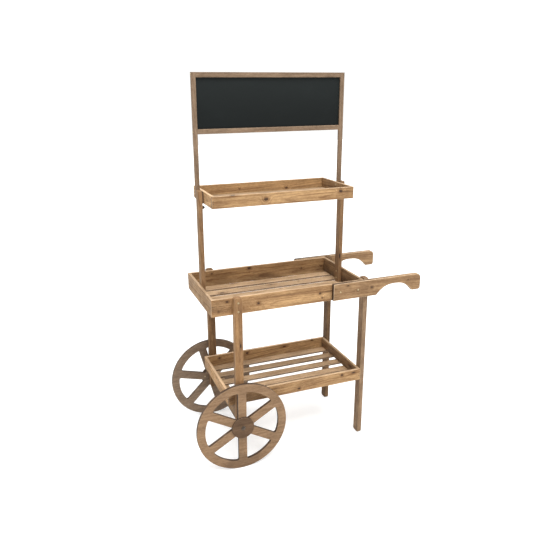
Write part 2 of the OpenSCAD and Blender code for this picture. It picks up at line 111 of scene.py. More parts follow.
def join_surfaces(parts: list[Surface]) -> Surface:
    """Stacks several surfaces into one.

    Args:
        parts: the surfaces, all with the same named values.

    Returns:
        One surface with every point and face.
    """
    starts = np.cumsum([0] + [len(p.points) for p in parts])
    faces = [tuple(int(i) + int(s) for i in f) for p, s in zip(parts, starts) for f in p.faces]
    values = {k: np.concatenate([p.values[k] for p in parts]) for k in parts[0].values}
    return Surface(np.concatenate([p.points for p in parts]), faces, values)


def grid_faces(rows: int, cols: int, wrap_cols: bool = True, wrap_rows: bool = False) -> list:
    """Quads between neighbouring points of a rows x cols grid, numbered row by row.

    Args:
        rows: number of rings.
        cols: number of points in a ring.
        wrap_cols: join the last column to the first.
        wrap_rows: join the last row to the first.

    Returns:
        List of four-index faces.
    """
    r = np.arange(rows if wrap_rows else rows - 1)
    c = np.arange(cols if wrap_cols else cols - 1)
    rr, cc = np.meshgrid(r, c, indexing="ij")
    nr, nc = (rr + 1) % rows, (cc + 1) % cols
    quads = np.stack([rr * cols + cc, rr * cols + nc, nr * cols + nc, nr * cols + cc], -1)
    return [tuple(q) for q in quads.reshape(-1, 4).tolist()]


def outline_normals(loop: np.ndarray) -> np.ndarray:
    """Outward mitre direction at each point of a closed anticlockwise loop.

    The direction is the sum of the two neighbouring edges' unit normals divided by one plus
    their dot product, so moving every point by d along it moves every edge by d.

    Args:
        loop: closed loop as an (n, 2) array.

    Returns:
        Array of shape (n, 2).
    """
    edge = np.roll(loop, -1, 0) - loop
    edge /= np.maximum(np.linalg.norm(edge, axis=1, keepdims=True), 1e-12)
    out = np.stack([edge[:, 1], -edge[:, 0]], 1)
    before = np.roll(out, 1, 0)
    return (out + before) / np.maximum(1 + (out * before).sum(1, keepdims=True), 0.35)


def inset_limit(loop: np.ndarray) -> np.ndarray:
    """How far each point of a closed loop can move inwards before its corner folds over.

    The local radius is the shorter of the two neighbouring edges over the angle turned between
    them, in radians. The limit is nine tenths of the smallest such radius within two points on
    either side, and none where the loop is straight or turns the other way.

    Args:
        loop: closed loop as an (n, 2) array.

    Returns:
        Array of n distances.
    """
    edge = np.roll(loop, -1, 0) - loop
    last = np.roll(edge, 1, 0)
    turn = np.arctan2(last[:, 0] * edge[:, 1] - last[:, 1] * edge[:, 0], (last * edge).sum(1))
    short = np.minimum(np.linalg.norm(edge, axis=1), np.linalg.norm(last, axis=1))
    radius = np.where(turn > 0.02, short / np.maximum(turn, 0.02), 1.0)
    return 0.9 * np.min([np.roll(radius, k) for k in range(-2, 3)], axis=0)


def sawn_piece(loops: list, low: float, high: float, arris: tuple, wear: float) -> Surface:
    """Sheet of timber cut along outlines, with every arris rounded over.

    Each outline is carried through a section: from a line `wear` inside the edge on the low
    face, to the arris, round a quarter circle of radius `arris`, up the sawn edge, round the
    second quarter circle and back in over the high face. Both faces are then closed with
    triangles.

    Args:
        loops: outlines as (n, 2) arrays; the first anticlockwise, holes clockwise.
        low: low face along the thickness.
        high: high face along the thickness.
        arris: radii of the rounded edges of the low and of the high face.
        wear: width of the band inside the edge that edge wear may reach.

    Returns:
        The surface in (a, b, thickness) coordinates. Its values are "edge", which is 1 on the
        arrises, and "cut_a" and "cut_b", which are 1 on sawn edges that face along a or b.
    """
    quarter = np.linspace(0, math.pi / 2, 4)
    turn_in = np.concatenate([[1.0], 1 - np.sin(quarter)])
    turn_up = np.concatenate([[0.0], 1 - np.cos(quarter)])
    edge = np.concatenate([[0.0], 0.45 + 0.55 * np.sin(2 * quarter)])
    cut = np.concatenate([[0.0], np.sin(quarter) ** 2])
    band = np.array([wear, 0, 0, 0, 0])
    inset = np.concatenate([arris[0] * turn_in + band, (arris[1] * turn_in + band)[::-1]])
    level = np.concatenate([low + arris[0] * turn_up, high - (arris[1] * turn_up)[::-1]])
    edge = np.concatenate([edge, edge[::-1]])
    cut = np.concatenate([cut, cut[::-1]])
    parts = []
    rims = []
    for loop in loops:
        n = len(loop)
        out = outline_normals(loop)
        moved = np.minimum(inset[:, None], inset_limit(loop)[None])
        flat = loop[None] - moved[:, :, None] * out[None]
        points = np.concatenate([flat, np.broadcast_to(level[:, None, None], (len(level), n, 1))], 2)
        ends = np.tile(np.abs(out), (len(level), 1))
        values = {
            "edge": np.repeat(edge, n),
            "cut_a": np.repeat(cut, n) * np.clip(ends[:, 0], 0, 1),
            "cut_b": np.repeat(cut, n) * np.clip(ends[:, 1], 0, 1),
        }
        parts.append(Surface(points.reshape(-1, 3), grid_faces(len(level), n), values))
        rims.append((flat[0], n))
    body = join_surfaces(parts)
    corners = tessellate_polygon([[Vector((x, y, 0)) for x, y in rim] for rim, _ in rims])
    starts = np.cumsum([0] + [len(level) * n for _, n in rims])
    low_index = np.concatenate([s + np.arange(n) for s, (_, n) in zip(starts, rims)])
    step = np.concatenate([np.full(n, (len(level) - 1) * n) for _, n in rims])
    tri = np.array(corners, int)
    flat = np.concatenate([rim for rim, _ in rims])
    a, b, c = flat[tri[:, 0]], flat[tri[:, 1]], flat[tri[:, 2]]
    turn = (b[:, 0] - a[:, 0]) * (c[:, 1] - a[:, 1]) - (b[:, 1] - a[:, 1]) * (c[:, 0] - a[:, 0])
    tri = np.where((turn < 0)[:, None], tri[:, ::-1], tri)
    body.faces += [tuple(f) for f in low_index[tri[:, ::-1]].tolist()]
    body.faces += [tuple(f) for f in (low_index + step)[tri].tolist()]
    return body


def smooth_noise(t: np.ndarray, seed: int, waves: int = 5) -> np.ndarray:
    """Sum of a few sines of t, of falling size and seeded turn, between about -1 and 1.

    Args:
        t: places along a line.
        seed: seed of the sines' rates and turns.
        waves: number of sines.

    Returns:
        Array like t.
    """
    rng = np.random.default_rng(seed)
    k = np.arange(1, waves + 1)[:, None]
    turn = rng.uniform(0, 2 * math.pi, (waves, 1))
    rate = rng.uniform(0.7, 1.4, (waves, 1))
    return (np.sin(k * rate * t[None] + turn) / k).sum(0) / 1.6


def rounded_loop(corners: list, radius: float, waver: float = 0.0, seed: int = 0) -> np.ndarray:
    """Closed loop with each corner eased and its long edges wavering like planed stock.

    Every corner becomes a quadratic curve that leaves one edge `radius` before the corner and
    meets the next edge `radius` after it. Points 25 mm apart fill the edges between, and each
    is then moved inwards by a smooth seeded wander, so none lies outside the given polygon.

    Args:
        corners: anticlockwise (a, b) corners.
        radius: how far from a corner its easing starts.
        waver: largest inward wander of an edge.
        seed: seed of the wander.

    Returns:
        Array of shape (n, 2).
    """
    ring = np.array(corners, float)
    back = np.roll(ring, 1, 0) - ring
    ahead = np.roll(ring, -1, 0) - ring
    reach = np.minimum(np.linalg.norm(back, axis=1), np.linalg.norm(ahead, axis=1)) * 0.45
    r = np.minimum(radius, reach)[:, None]
    start = ring + back / np.linalg.norm(back, axis=1, keepdims=True) * r
    stop = ring + ahead / np.linalg.norm(ahead, axis=1, keepdims=True) * r
    t = np.linspace(0, 1, 5)[None, :, None]
    bend = start[:, None] * (1 - t) ** 2 + ring[:, None] * 2 * t * (1 - t) + stop[:, None] * t**2
    pieces = []
    for curve, nxt in zip(bend, np.roll(start, -1, 0)):
        gap = nxt - curve[-1]
        n = int(np.linalg.norm(gap) / 0.025)
        pieces += [curve, curve[-1] + gap * (np.arange(1, n + 1) / (n + 1))[:, None]]
    loop = np.concatenate(pieces)
    if waver > 0:
        s = np.cumsum(np.linalg.norm(np.diff(loop, axis=0, append=loop[:1]), axis=1)) * 26
        push = waver * (0.5 + 0.5 * np.clip(smooth_noise(s, seed), -1, 1))
        loop = loop - outline_normals(loop) * push[:, None]
    return loop


def box_loop(low: tuple, high: tuple, radius: float, waver: float = 0.0, seed: int = 0) -> np.ndarray:
    """Rounded loop round a rectangle, see rounded_loop.

    Args:
        low: its low corner.
        high: its high corner.
        radius: how far from a corner its easing starts.
        waver: largest inward wander of an edge.
        seed: seed of the wander.

    Returns:
        Array of shape (n, 2).
    """
    (a0, b0), (a1, b1) = low, high
    return rounded_loop([(a0, b0), (a1, b0), (a1, b1), (a0, b1)], radius, waver, seed)


def arc_points(centre: tuple, radius: float, start: float, stop: float, count: int) -> np.ndarray:
    """Points on a circular arc.

    Args:
        centre: its centre.
        radius: its radius.
        start: angle of the first point from the first axis, in degrees.
        stop: angle of the last point.
        count: number of points.

    Returns:
        Array of shape (count, 2).
    """
    t = np.radians(np.linspace(start, stop, count))
    return np.stack([centre[0] + radius * np.cos(t), centre[1] + radius * np.sin(t)], 1)


def lathe(profile: np.ndarray, count: int) -> tuple[np.ndarray, list]:
    """Turns a profile round the third axis.

    Args:
        profile: (radius, height) points from the top down.
        count: number of points in a ring.

    Returns:
        The points, ring by ring, and the faces.
    """
    t = np.linspace(0, 2 * math.pi, count, endpoint=False)
    r, h = profile[:, :1], profile[:, 1:2]
    points = np.stack([r * np.cos(t), r * np.sin(t), np.broadcast_to(h, (len(profile), count))], -1)
    return points.reshape(-1, 3), grid_faces(len(profile), count)


def solids_of(node: str) -> list[np.ndarray]:
    """Splits a CAD node's mesh into its separate solids.

    Corners at the same place are one point; each point takes the lowest label among its
    triangles' points until nothing changes.

    Args:
        node: the CAD node's name.

    Returns:
        One array of points for each solid, ordered by label.
    """
    mesh = frame["nodes"][node].data
    mesh.calc_loop_triangles()
    points = np.zeros(len(mesh.vertices) * 3, np.float32)
    mesh.vertices.foreach_get("co", points)
    tri = np.zeros(len(mesh.loop_triangles) * 3, np.int32)
    mesh.loop_triangles.foreach_get("vertices", tri)
    unique, index = np.unique(np.round(points.reshape(-1, 3), 5), axis=0, return_inverse=True)
    tri = index.reshape(-1)[tri.reshape(-1, 3)]
    label = np.arange(len(unique))
    while True:
        lowest = label[tri].min(1)
        new = label.copy()
        for k in range(3):
            np.minimum.at(new, tri[:, k], lowest)
        if (new == label).all():
            break
        label = new
    return [unique[label == k] for k in np.unique(label)]


# ---------------------------------------------------------------- finishes


@dataclass(frozen=True)
class Knot:
    """A knot through a board; a wide faint one is a darker patch, which some pieces use for painted shade.

    Args:
        along: place along the board's length, in mm in the cart's frame.
        across: place across its width, in mm in the cart's frame.
        size: radius in mm.
        dark: how dark its heart is, from 0 to 1.
        stretch: its length along the fibres over its width; a high one makes a dark streak.
    """

    along: float
    across: float
    size: float = 5.0
    dark: float = 0.95
    stretch: float = 1.3


@dataclass(frozen=True)
class WoodFinish:
    """How a kind of timber is coloured and finished.

    Args:
        pale: colour of the early wood.
        deep: colour of the late wood rings and streaks.
        knot: colour of a knot's heart.
        worn: colour of rubbed arrises.
        cut: colour of sawn ends and edges.
        rough: roughness of the faces.
        grime: strength of the dark wash in blotches.
        wear: strength of the pale arrises.
        ring: spacing of the growth rings, in metres.
        cut_strength: how strongly sawn ends take the cut colour.
        rim: how strongly planed long edges, top and bottom, take the worn colour, which is wear and also a
            painted highlight for the light on the boards' top edges.
        painted_shade: how much painted shade darkens a piece's inner face.
        mottle: strength of the cloudy patches and grit.
    """

    pale: tuple = (0.66, 0.415, 0.200)
    deep: tuple = (0.215, 0.104, 0.041)
    knot: tuple = (0.030, 0.014, 0.008)
    worn: tuple = (0.74, 0.55, 0.37)
    cut: tuple = (0.16, 0.085, 0.042)
    rough: float = 0.62
    grime: float = 0.50
    wear: float = 0.85
    ring: float = 0.0055
    cut_strength: float = 0.35
    rim: float = 0.55
    painted_shade: float = 0.62
    mottle: float = 0.75


FIR = WoodFinish()
# Slat wood: its paler, greyer colours are a painted sheen of the lit slat tops, and its dark cut colour on
# every sawn edge is painted shade in the gaps between slats.
SLAT_SHEEN_AND_GAP_SHADE_WOOD = WoodFinish(pale=(0.65, 0.46, 0.285), deep=(0.26, 0.155, 0.080), grime=0.4, rim=0.0,
                       cut=(0.08, 0.045, 0.025), cut_strength=0.72)
HANDLE_WOOD = WoodFinish(pale=(0.53, 0.335, 0.172), deep=(0.20, 0.105, 0.048), grime=0.5,
                         cut=(0.050, 0.026, 0.014), cut_strength=0.95, rim=0.15)
LEG_WOOD = WoodFinish(pale=(0.56, 0.325, 0.148), deep=(0.20, 0.100, 0.042), rim=0.0, grime=0.6,
                      cut_strength=0.3, wear=0.35, worn=(0.62, 0.42, 0.25))
GREY_LEG_WOOD = replace(LEG_WOOD, pale=(0.44, 0.300, 0.185), deep=(0.19, 0.112, 0.060))
WHEEL_WOOD = WoodFinish(pale=(0.42, 0.268, 0.152), deep=(0.245, 0.145, 0.078), cut=(0.060, 0.032, 0.018),
                        cut_strength=1.0, ring=0.004, wear=0.3, rim=0.0)
GREY_WHEEL_WOOD = replace(WHEEL_WOOD, pale=(0.375, 0.272, 0.190), deep=(0.215, 0.148, 0.098))
HUB_WOOD = WoodFinish(pale=(0.22, 0.128, 0.068), deep=(0.12, 0.064, 0.032), cut=(0.055, 0.028, 0.016),
                      cut_strength=1.0, ring=0.004, wear=0.2, rim=0.0)
POST_WOOD = WoodFinish(pale=(0.432, 0.253, 0.122), deep=(0.20, 0.105, 0.047), ring=0.005,
                       cut_strength=0.2, rim=0.1, wear=0.4, worn=(0.54, 0.37, 0.22))
SIGN_WOOD = WoodFinish(pale=(0.388, 0.267, 0.175), deep=(0.19, 0.122, 0.075), ring=0.005,
                       cut_strength=0.15, rim=0.1, wear=0.4, worn=(0.50, 0.38, 0.27))


def new_group(name: str, inputs: dict, outputs: dict) -> tuple:
    """Starts a shader node group.

    Args:
        name: the group's name.
        inputs: socket name to (socket type, default or None).
        outputs: socket name to socket type.

    Returns:
        The tree, its input node and its output node.
    """
    tree = bpy.data.node_groups.new(name, "ShaderNodeTree")
    for label, (kind, value) in inputs.items():
        socket = tree.interface.new_socket(label, in_out="INPUT", socket_type="NodeSocket" + kind)
        if value is not None:
            socket.default_value = value
    for label, kind in outputs.items():
        tree.interface.new_socket(label, in_out="OUTPUT", socket_type="NodeSocket" + kind)
    return tree, tree.nodes.new("NodeGroupInput"), tree.nodes.new("NodeGroupOutput")


class Wiring:
    """Short calls for placing and joining shader nodes in one tree."""

    def __init__(self, tree: bpy.types.NodeTree) -> None:
        """Keeps the tree the nodes go into."""
        self.tree = tree

    def put(self, socket: bpy.types.NodeSocket, value: object) -> None:
        """Feeds a socket.

        Args:
            socket: the input.
            value: a socket to link, a constant to set, or None to leave it alone.
        """
        if isinstance(value, bpy.types.NodeSocket):
            self.tree.links.new(value, socket)
        elif value is not None:
            socket.default_value = value

    def math(self, operation: str, a: object, b: object = None, c: object = None,
             clamp: bool = False) -> bpy.types.NodeSocket:
        """One Math node.

        Args:
            operation: its operation.
            a: first input, a socket or a number.
            b: second input.
            c: third input.
            clamp: keep the result between 0 and 1.

        Returns:
            Its output.
        """
        node = self.tree.nodes.new("ShaderNodeMath")
        node.operation = operation
        node.use_clamp = clamp
        for socket, value in zip(node.inputs, (a, b, c)):
            self.put(socket, value)
        return node.outputs[0]

    def vector(self, operation: str, a: object, b: object = None) -> bpy.types.NodeSocket:
        """One Vector Math node.

        Args:
            operation: its operation.
            a: first input, a socket or a tuple.
            b: second input.

        Returns:
            Its vector, or its value for a length.
        """
        node = self.tree.nodes.new("ShaderNodeVectorMath")
        node.operation = operation
        self.put(node.inputs[0], a)
        self.put(node.inputs[1], b)
        return node.outputs["Value" if operation == "LENGTH" else "Vector"]

    def noise(self, place: object, scale: float, detail: float = 3.0, rough: float = 0.5,
              warp: float = 0.0) -> bpy.types.NodeSocket:
        """One Noise Texture.

        Args:
            place: coordinates.
            scale: its scale.
            detail: number of finer layers.
            rough: weight of the finer layers.
            warp: how far it distorts itself.

        Returns:
            Its grey value.
        """
        node = self.tree.nodes.new("ShaderNodeTexNoise")
        self.put(node.inputs["Vector"], place)
        node.inputs["Scale"].default_value = scale
        node.inputs["Detail"].default_value = detail
        node.inputs["Roughness"].default_value = rough
        node.inputs["Distortion"].default_value = warp
        return node.outputs["Fac"]

    def ramp(self, value: object, low: float, high: float) -> bpy.types.NodeSocket:
        """Smooth step from 0 to 1.

        Args:
            value: the socket to map.
            low: value at which the step is 0; it may lie above the other.
            high: value at which the step is 1.

        Returns:
            The step.
        """
        node = self.tree.nodes.new("ShaderNodeMapRange")
        node.interpolation_type = "SMOOTHSTEP"
        for socket, number in zip(node.inputs[:3], (value, low, high)):
            self.put(socket, number)
        return node.outputs[0]

    def mix(self, factor: object, a: object, b: object, blend: str = "MIX") -> bpy.types.NodeSocket:
        """One colour Mix node.

        Args:
            factor: share of the second colour.
            a: first colour, a socket or a tuple.
            b: second colour.
            blend: how they are joined.

        Returns:
            The mixed colour.
        """
        node = self.tree.nodes.new("ShaderNodeMix")
        node.data_type = "RGBA"
        node.blend_type = blend
        self.put(node.inputs[0], factor)
        for socket, value in ((node.inputs[6], a), (node.inputs[7], b)):
            self.put(socket, (*value, 1.0) if isinstance(value, tuple) and len(value) == 3 else value)
        return node.outputs[2]

    def value(self, label: str, part: str = "Fac") -> bpy.types.NodeSocket:
        """One Attribute node, which reads a value that the piece's points carry.

        Args:
            label: name of the value.
            part: output to take, a number or a vector.

        Returns:
            The value.
        """
        node = self.tree.nodes.new("ShaderNodeAttribute")
        node.attribute_name = label
        return node.outputs[part]

    def place(self) -> bpy.types.NodeSocket:
        """Object coordinates, which are the cart's own frame in metres."""
        return self.tree.nodes.new("ShaderNodeTexCoord").outputs["Object"]

    def relief(self, shader: bpy.types.Node, height: bpy.types.NodeSocket, strength: float,
               depth: float) -> None:
        """Raises a shader's surface with a Bump node.

        Args:
            shader: the Principled shader.
            height: the relief.
            strength: its strength.
            depth: its depth in metres.
        """
        bump = self.tree.nodes.new("ShaderNodeBump")
        bump.inputs["Strength"].default_value = strength
        bump.inputs["Distance"].default_value = depth
        self.put(bump.inputs["Height"], height)
        self.put(shader.inputs["Normal"], bump.outputs["Normal"])

    def group(self, tree: bpy.types.NodeTree, **values: object) -> bpy.types.Node:
        """One group node.

        Args:
            tree: the group.
            values: what goes into its inputs, by name.

        Returns:
            The node.
        """
        node = self.tree.nodes.new("ShaderNodeGroup")
        node.node_tree = tree
        for label, value in values.items():
            socket = node.inputs[label.replace("_", " ")]
            if isinstance(value, tuple) and socket.type == "RGBA" and len(value) == 3:
                value = (*value, 1.0)
            self.put(socket, value)
        return node


def build_fibre_group() -> bpy.types.NodeTree:
    """Growth rings, streaks and fibres of sawn timber.

    Input Timber runs along the fibres in its first part, in metres. A ring number is the
    distance from the pith line, bent by slow noise, over the ring spacing; late wood is the
    dark top of each ring. Outputs masks from 0 to 1.

    Returns:
        The group.
    """
    tree, given, out = new_group(
        "Timber fibres",
        {"Timber": ("Vector", None), "Ring": ("Float", 0.0065), "Bend": ("Float", 0.0)},
        {"Late": "Float", "Streak": "Float", "Fibre": "Float", "Blotch": "Float", "Grit": "Float"},
    )
    w = Wiring(tree)
    timber = given.outputs["Timber"]
    slow = w.noise(w.vector("MULTIPLY", timber, (2.0, 14, 14)), 1.0, 2.0, 0.5)
    side = w.noise(w.vector("MULTIPLY", timber, (2.6, 8, 8)), 1.0, 2.0, 0.5)
    parts = tree.nodes.new("ShaderNodeSeparateXYZ")
    w.put(parts.inputs[0], timber)
    across = w.math("ADD", parts.outputs[1], w.math("MULTIPLY", slow, 0.012))
    through = w.math("ADD", parts.outputs[2], w.math("MULTIPLY", side, 0.014))
    radius = w.math("SQRT", w.math("ADD", w.math("POWER", across, 2.0), w.math("POWER", through, 2.0)))
    radius = w.math("ADD", radius, given.outputs["Bend"])
    ring = w.math("DIVIDE", radius, given.outputs["Ring"])
    part = w.math("FRACT", ring)
    late = w.math("MULTIPLY", w.ramp(part, 0.45, 0.9), w.ramp(part, 1.0, 0.9))
    w.put(out.inputs["Late"], late)
    streak = w.noise(w.vector("MULTIPLY", timber, (2.2, 95, 95)), 1.0, 5.0, 0.66)
    w.put(out.inputs["Streak"], w.ramp(streak, 0.36, 0.66))
    fibre = w.noise(w.vector("MULTIPLY", timber, (22, 560, 560)), 1.0, 3.0, 0.6)
    w.put(out.inputs["Fibre"], w.ramp(fibre, 0.3, 0.72))
    blotch = w.noise(w.vector("MULTIPLY", timber, (9, 24, 24)), 1.0, 4.0, 0.6, 0.2)
    w.put(out.inputs["Blotch"], w.ramp(blotch, 0.36, 0.68))
    grit = w.noise(w.vector("MULTIPLY", timber, (70, 190, 190)), 1.0, 4.0, 0.65)
    w.put(out.inputs["Grit"], w.ramp(grit, 0.36, 0.66))
    return tree


def build_knot_group() -> bpy.types.NodeTree:
    """One knot through a board at a stated spot.

    The distance is measured in the board's plane, over the radius, and broken by noise. Heart
    is the knot itself, Halo the darker wood round it and Bend how far it pushes the rings aside.

    Returns:
        The group.
    """
    tree, given, out = new_group(
        "Knot",
        {"Place": ("Vector", None), "Spot": ("Vector", (0, 0, 0)), "Plane": ("Vector", (1, 1, 1)),
         "Size": ("Float", 0.007), "Dark": ("Float", 0.8)},
        {"Heart": "Float", "Halo": "Float", "Bend": "Float"},
    )
    w = Wiring(tree)
    away = w.vector("MULTIPLY", w.vector("SUBTRACT", given.outputs["Place"], given.outputs["Spot"]),
                    given.outputs["Plane"])
    reach = w.math("DIVIDE", w.vector("LENGTH", away), given.outputs["Size"])
    rough = w.noise(given.outputs["Place"], 240.0, 3.0, 0.6)
    reach = w.math("ADD", reach, w.math("MULTIPLY", w.math("SUBTRACT", rough, 0.5), 0.9))
    heart = w.math("MULTIPLY", w.ramp(reach, 1.1, 0.62), given.outputs["Dark"])
    rings = w.math("SINE", w.math("MULTIPLY", reach, 11.0))
    heart = w.math("MULTIPLY", heart, w.math("ADD", w.math("MULTIPLY", rings, 0.14), 0.86))
    w.put(out.inputs["Heart"], heart)
    halo = w.math("MULTIPLY", w.ramp(reach, 2.6, 0.8), given.outputs["Dark"])
    w.put(out.inputs["Halo"], halo)
    push = w.math("EXPONENT", w.math("MULTIPLY", w.math("POWER", reach, 2.0), -0.22))
    w.put(out.inputs["Bend"], w.math("MULTIPLY", w.math("MULTIPLY", push, given.outputs["Size"]), 2.2))
    return tree


def build_stray_group() -> bpy.types.NodeTree:
    """Small pin knots scattered thinly over a board, from cells stretched along the fibres.

    Returns:
        The group.
    """
    tree, given, out = new_group(
        "Pin knots", {"Timber": ("Vector", None), "Amount": ("Float", 0.5)},
        {"Heart": "Float", "Halo": "Float"},
    )
    w = Wiring(tree)
    cells = tree.nodes.new("ShaderNodeTexVoronoi")
    cells.voronoi_dimensions = "2D"
    w.put(cells.inputs["Vector"], w.vector("MULTIPLY", given.outputs["Timber"], (5.0, 17.0, 17.0)))
    cells.inputs["Scale"].default_value = 1.0
    cells.inputs["Randomness"].default_value = 1.0
    parts = tree.nodes.new("ShaderNodeSeparateColor")
    w.put(parts.inputs[0], cells.outputs["Color"])
    kept = w.math("LESS_THAN", parts.outputs[0], given.outputs["Amount"])
    size = w.math("ADD", w.math("MULTIPLY", parts.outputs[1], 0.055), 0.03)
    reach = w.math("DIVIDE", cells.outputs["Distance"], size)
    w.put(out.inputs["Heart"], w.math("MULTIPLY", w.ramp(reach, 1.15, 0.5), kept))
    w.put(out.inputs["Halo"], w.math("MULTIPLY", w.ramp(reach, 3.6, 0.8), kept))
    return tree


def build_wear_group() -> bpy.types.NodeTree:
    """Rubbed arrises: the Edge value broken up by two noises. Output Worn runs from 0 to 1.

    Returns:
        The group.
    """
    tree, given, out = new_group(
        "Rubbed arris", {"Place": ("Vector", None), "Edge": ("Float", 0.0), "Amount": ("Float", 0.6)},
        {"Worn": "Float"},
    )
    w = Wiring(tree)
    broad = w.noise(given.outputs["Place"], 26.0, 3.0, 0.6)
    fine = w.noise(given.outputs["Place"], 260.0, 2.0, 0.6)
    gate = w.math("ADD", w.math("MULTIPLY", broad, 0.8), w.math("MULTIPLY", fine, 0.35))
    gate = w.math("ADD", given.outputs["Edge"], w.math("SUBTRACT", gate, 0.62))
    w.put(out.inputs["Worn"], w.math("MULTIPLY", w.ramp(gate, 0.35, 0.95), given.outputs["Amount"]))
    return tree


@dataclass
class Finishes:
    """Builds the shader groups once and the materials that use them.

    Args:
        fibres: group of rings, streaks and fibres.
        knot: group of one stated knot.
        stray: group of scattered pin knots.
        wear: group of rubbed arrises.
    """

    fibres: bpy.types.NodeTree = field(default_factory=build_fibre_group)
    knot: bpy.types.NodeTree = field(default_factory=build_knot_group)
    stray: bpy.types.NodeTree = field(default_factory=build_stray_group)
    wear: bpy.types.NodeTree = field(default_factory=build_wear_group)

    def start(self, name: str) -> tuple:
        """Starts a material.

        Args:
            name: its name.

        Returns:
            The material, its wiring and its Principled shader.
        """
        material = bpy.data.materials.new(name)
        material.use_nodes = True
        tree = material.node_tree
        shader = next(n for n in tree.nodes if n.type == "BSDF_PRINCIPLED")
        return material, Wiring(tree), shader

    def wood(self, name: str, finish: WoodFinish, tone: float, knots: list,
             stray: float) -> bpy.types.Material:
        """Material of one timber piece.

        Args:
            name: material name.
            finish: the kind of timber.
            tone: brightness of this piece against the others.
            knots: list of (spot in metres, weights of the axes, size in metres, darkness).
            stray: share of cells that hold a pin knot.

        Returns:
            The material.
        """
        material, w, shader = self.start(name)
        place = w.place()
        # Knots: the scattered ones and each stated one, with the rings bent round them.
        timber = w.value("timber", "Vector")
        pins = w.group(self.stray, Timber=timber, Amount=stray)
        heart, halo, bend = pins.outputs["Heart"], pins.outputs["Halo"], 0.0
        for spot, reach, size, dark in knots:
            one = w.group(self.knot, Place=place, Spot=spot, Plane=reach, Size=size, Dark=dark)
            heart = w.math("MAXIMUM", heart, one.outputs["Heart"])
            halo = w.math("MAXIMUM", halo, one.outputs["Halo"])
            bend = w.math("ADD", bend, one.outputs["Bend"])
        # Grain: late wood, streaks, fibres and the halo of the knots darken the pale wood.
        grain = w.group(self.fibres, Timber=timber, Ring=finish.ring, Bend=bend)
        late = w.math("MULTIPLY", grain.outputs["Late"], 0.34)
        dark = w.math("MULTIPLY_ADD", grain.outputs["Streak"], 0.50, late)
        dark = w.math("MULTIPLY_ADD", grain.outputs["Fibre"], 0.14, dark)
        dark = w.math("MULTIPLY_ADD", halo, 0.5, dark, clamp=True)
        shades = [tuple(c * tone for c in colour) for colour in (finish.pale, finish.deep)]
        colour = w.mix(dark, shades[0], shades[1])
        # Finish: dark wash in blotches, then grit.
        wash = w.math("MULTIPLY", grain.outputs["Blotch"], finish.grime)
        colour = w.mix(wash, colour, tuple(c * tone * 0.8 for c in finish.deep))
        grit = w.math("MULTIPLY", grain.outputs["Grit"], finish.mottle)
        colour = w.mix(grit, colour, (0.74, 0.70, 0.64), "MULTIPLY")
        # Edges: pale planed rims, which are wear and also a painted highlight on the boards' top edges, then
        # sawn ends, knots' hearts and worn arrises.
        rim_wear_and_highlight = w.math("MULTIPLY", w.value("rim"), finish.rim)
        rim_wear_and_highlight = w.math("MULTIPLY", rim_wear_and_highlight, w.math("MULTIPLY_ADD", grain.outputs["Blotch"], -0.6, 1.0))
        colour = w.mix(rim_wear_and_highlight, colour, tuple(c * tone for c in finish.worn))
        colour = w.mix(w.math("MULTIPLY", w.value("cut"), finish.cut_strength), colour,
                       tuple(c * tone for c in finish.cut))
        colour = w.mix(heart, colour, finish.knot)
        worn = w.group(self.wear, Place=place, Edge=w.value("edge"), Amount=finish.wear)
        colour = w.mix(worn.outputs["Worn"], colour, tuple(c * tone for c in finish.worn))
        # Painted shade: the inner faces of trays and shelves are darkened, most at their foot, where shade
        # falls; each stick also has its own random shade of colour.
        painted_shade_mask = w.math("MULTIPLY_ADD", grain.outputs["Blotch"], 0.3, 0.85)
        painted_shade_mask = w.math("MULTIPLY", w.math("MULTIPLY", w.value("painted_shade"), painted_shade_mask), finish.painted_shade)
        colour = w.mix(painted_shade_mask, colour, (0.10, 0.075, 0.055), "MULTIPLY")
        colour = w.mix(1.0, colour, w.value("shade"), "MULTIPLY")
        w.put(shader.inputs["Base Color"], colour)
        # Gloss and relief: streaks are rougher, late wood and knots lie lower than fibres.
        rough = w.math("MULTIPLY_ADD", grain.outputs["Streak"], 0.12, finish.rough)
        w.put(shader.inputs["Roughness"], w.math("MULTIPLY_ADD", heart, -0.15, rough))
        height = w.math("MULTIPLY_ADD", grain.outputs["Fibre"], 0.5, w.math("MULTIPLY", late, -0.5))
        height = w.math("MULTIPLY_ADD", heart, -0.8, height)
        w.relief(shader, height, 0.5, 0.0005)
        shader.inputs["Specular IOR Level"].default_value = 0.35
        return material

    def metal(self, name: str, colour: tuple, rough: float, dull: float) -> bpy.types.Material:
        """Zinc plated steel with dull spots.

        Args:
            name: material name.
            colour: colour of the clean plating.
            rough: roughness of the clean plating.
            dull: how much of the surface has dulled.

        Returns:
            The material.
        """
        material, w, shader = self.start(name)
        place = w.place()
        spots = w.ramp(w.noise(place, 320.0, 4.0, 0.65), 0.62 - dull * 0.4, 0.78 - dull * 0.2)
        fine = w.noise(place, 1900.0, 2.0, 0.5)
        shade = w.mix(spots, colour, tuple(c * f for c, f in zip(colour, (0.42, 0.34, 0.27))))
        w.put(shader.inputs["Base Color"], w.mix(w.math("MULTIPLY", fine, 0.25), shade, (0.12, 0.11, 0.10)))
        w.put(shader.inputs["Roughness"], w.math("MULTIPLY_ADD", spots, 0.3, rough))
        w.put(shader.inputs["Metallic"], w.math("MULTIPLY_ADD", spots, -0.45, 0.95))
        w.relief(shader, fine, 0.25, 0.0002)
        return material

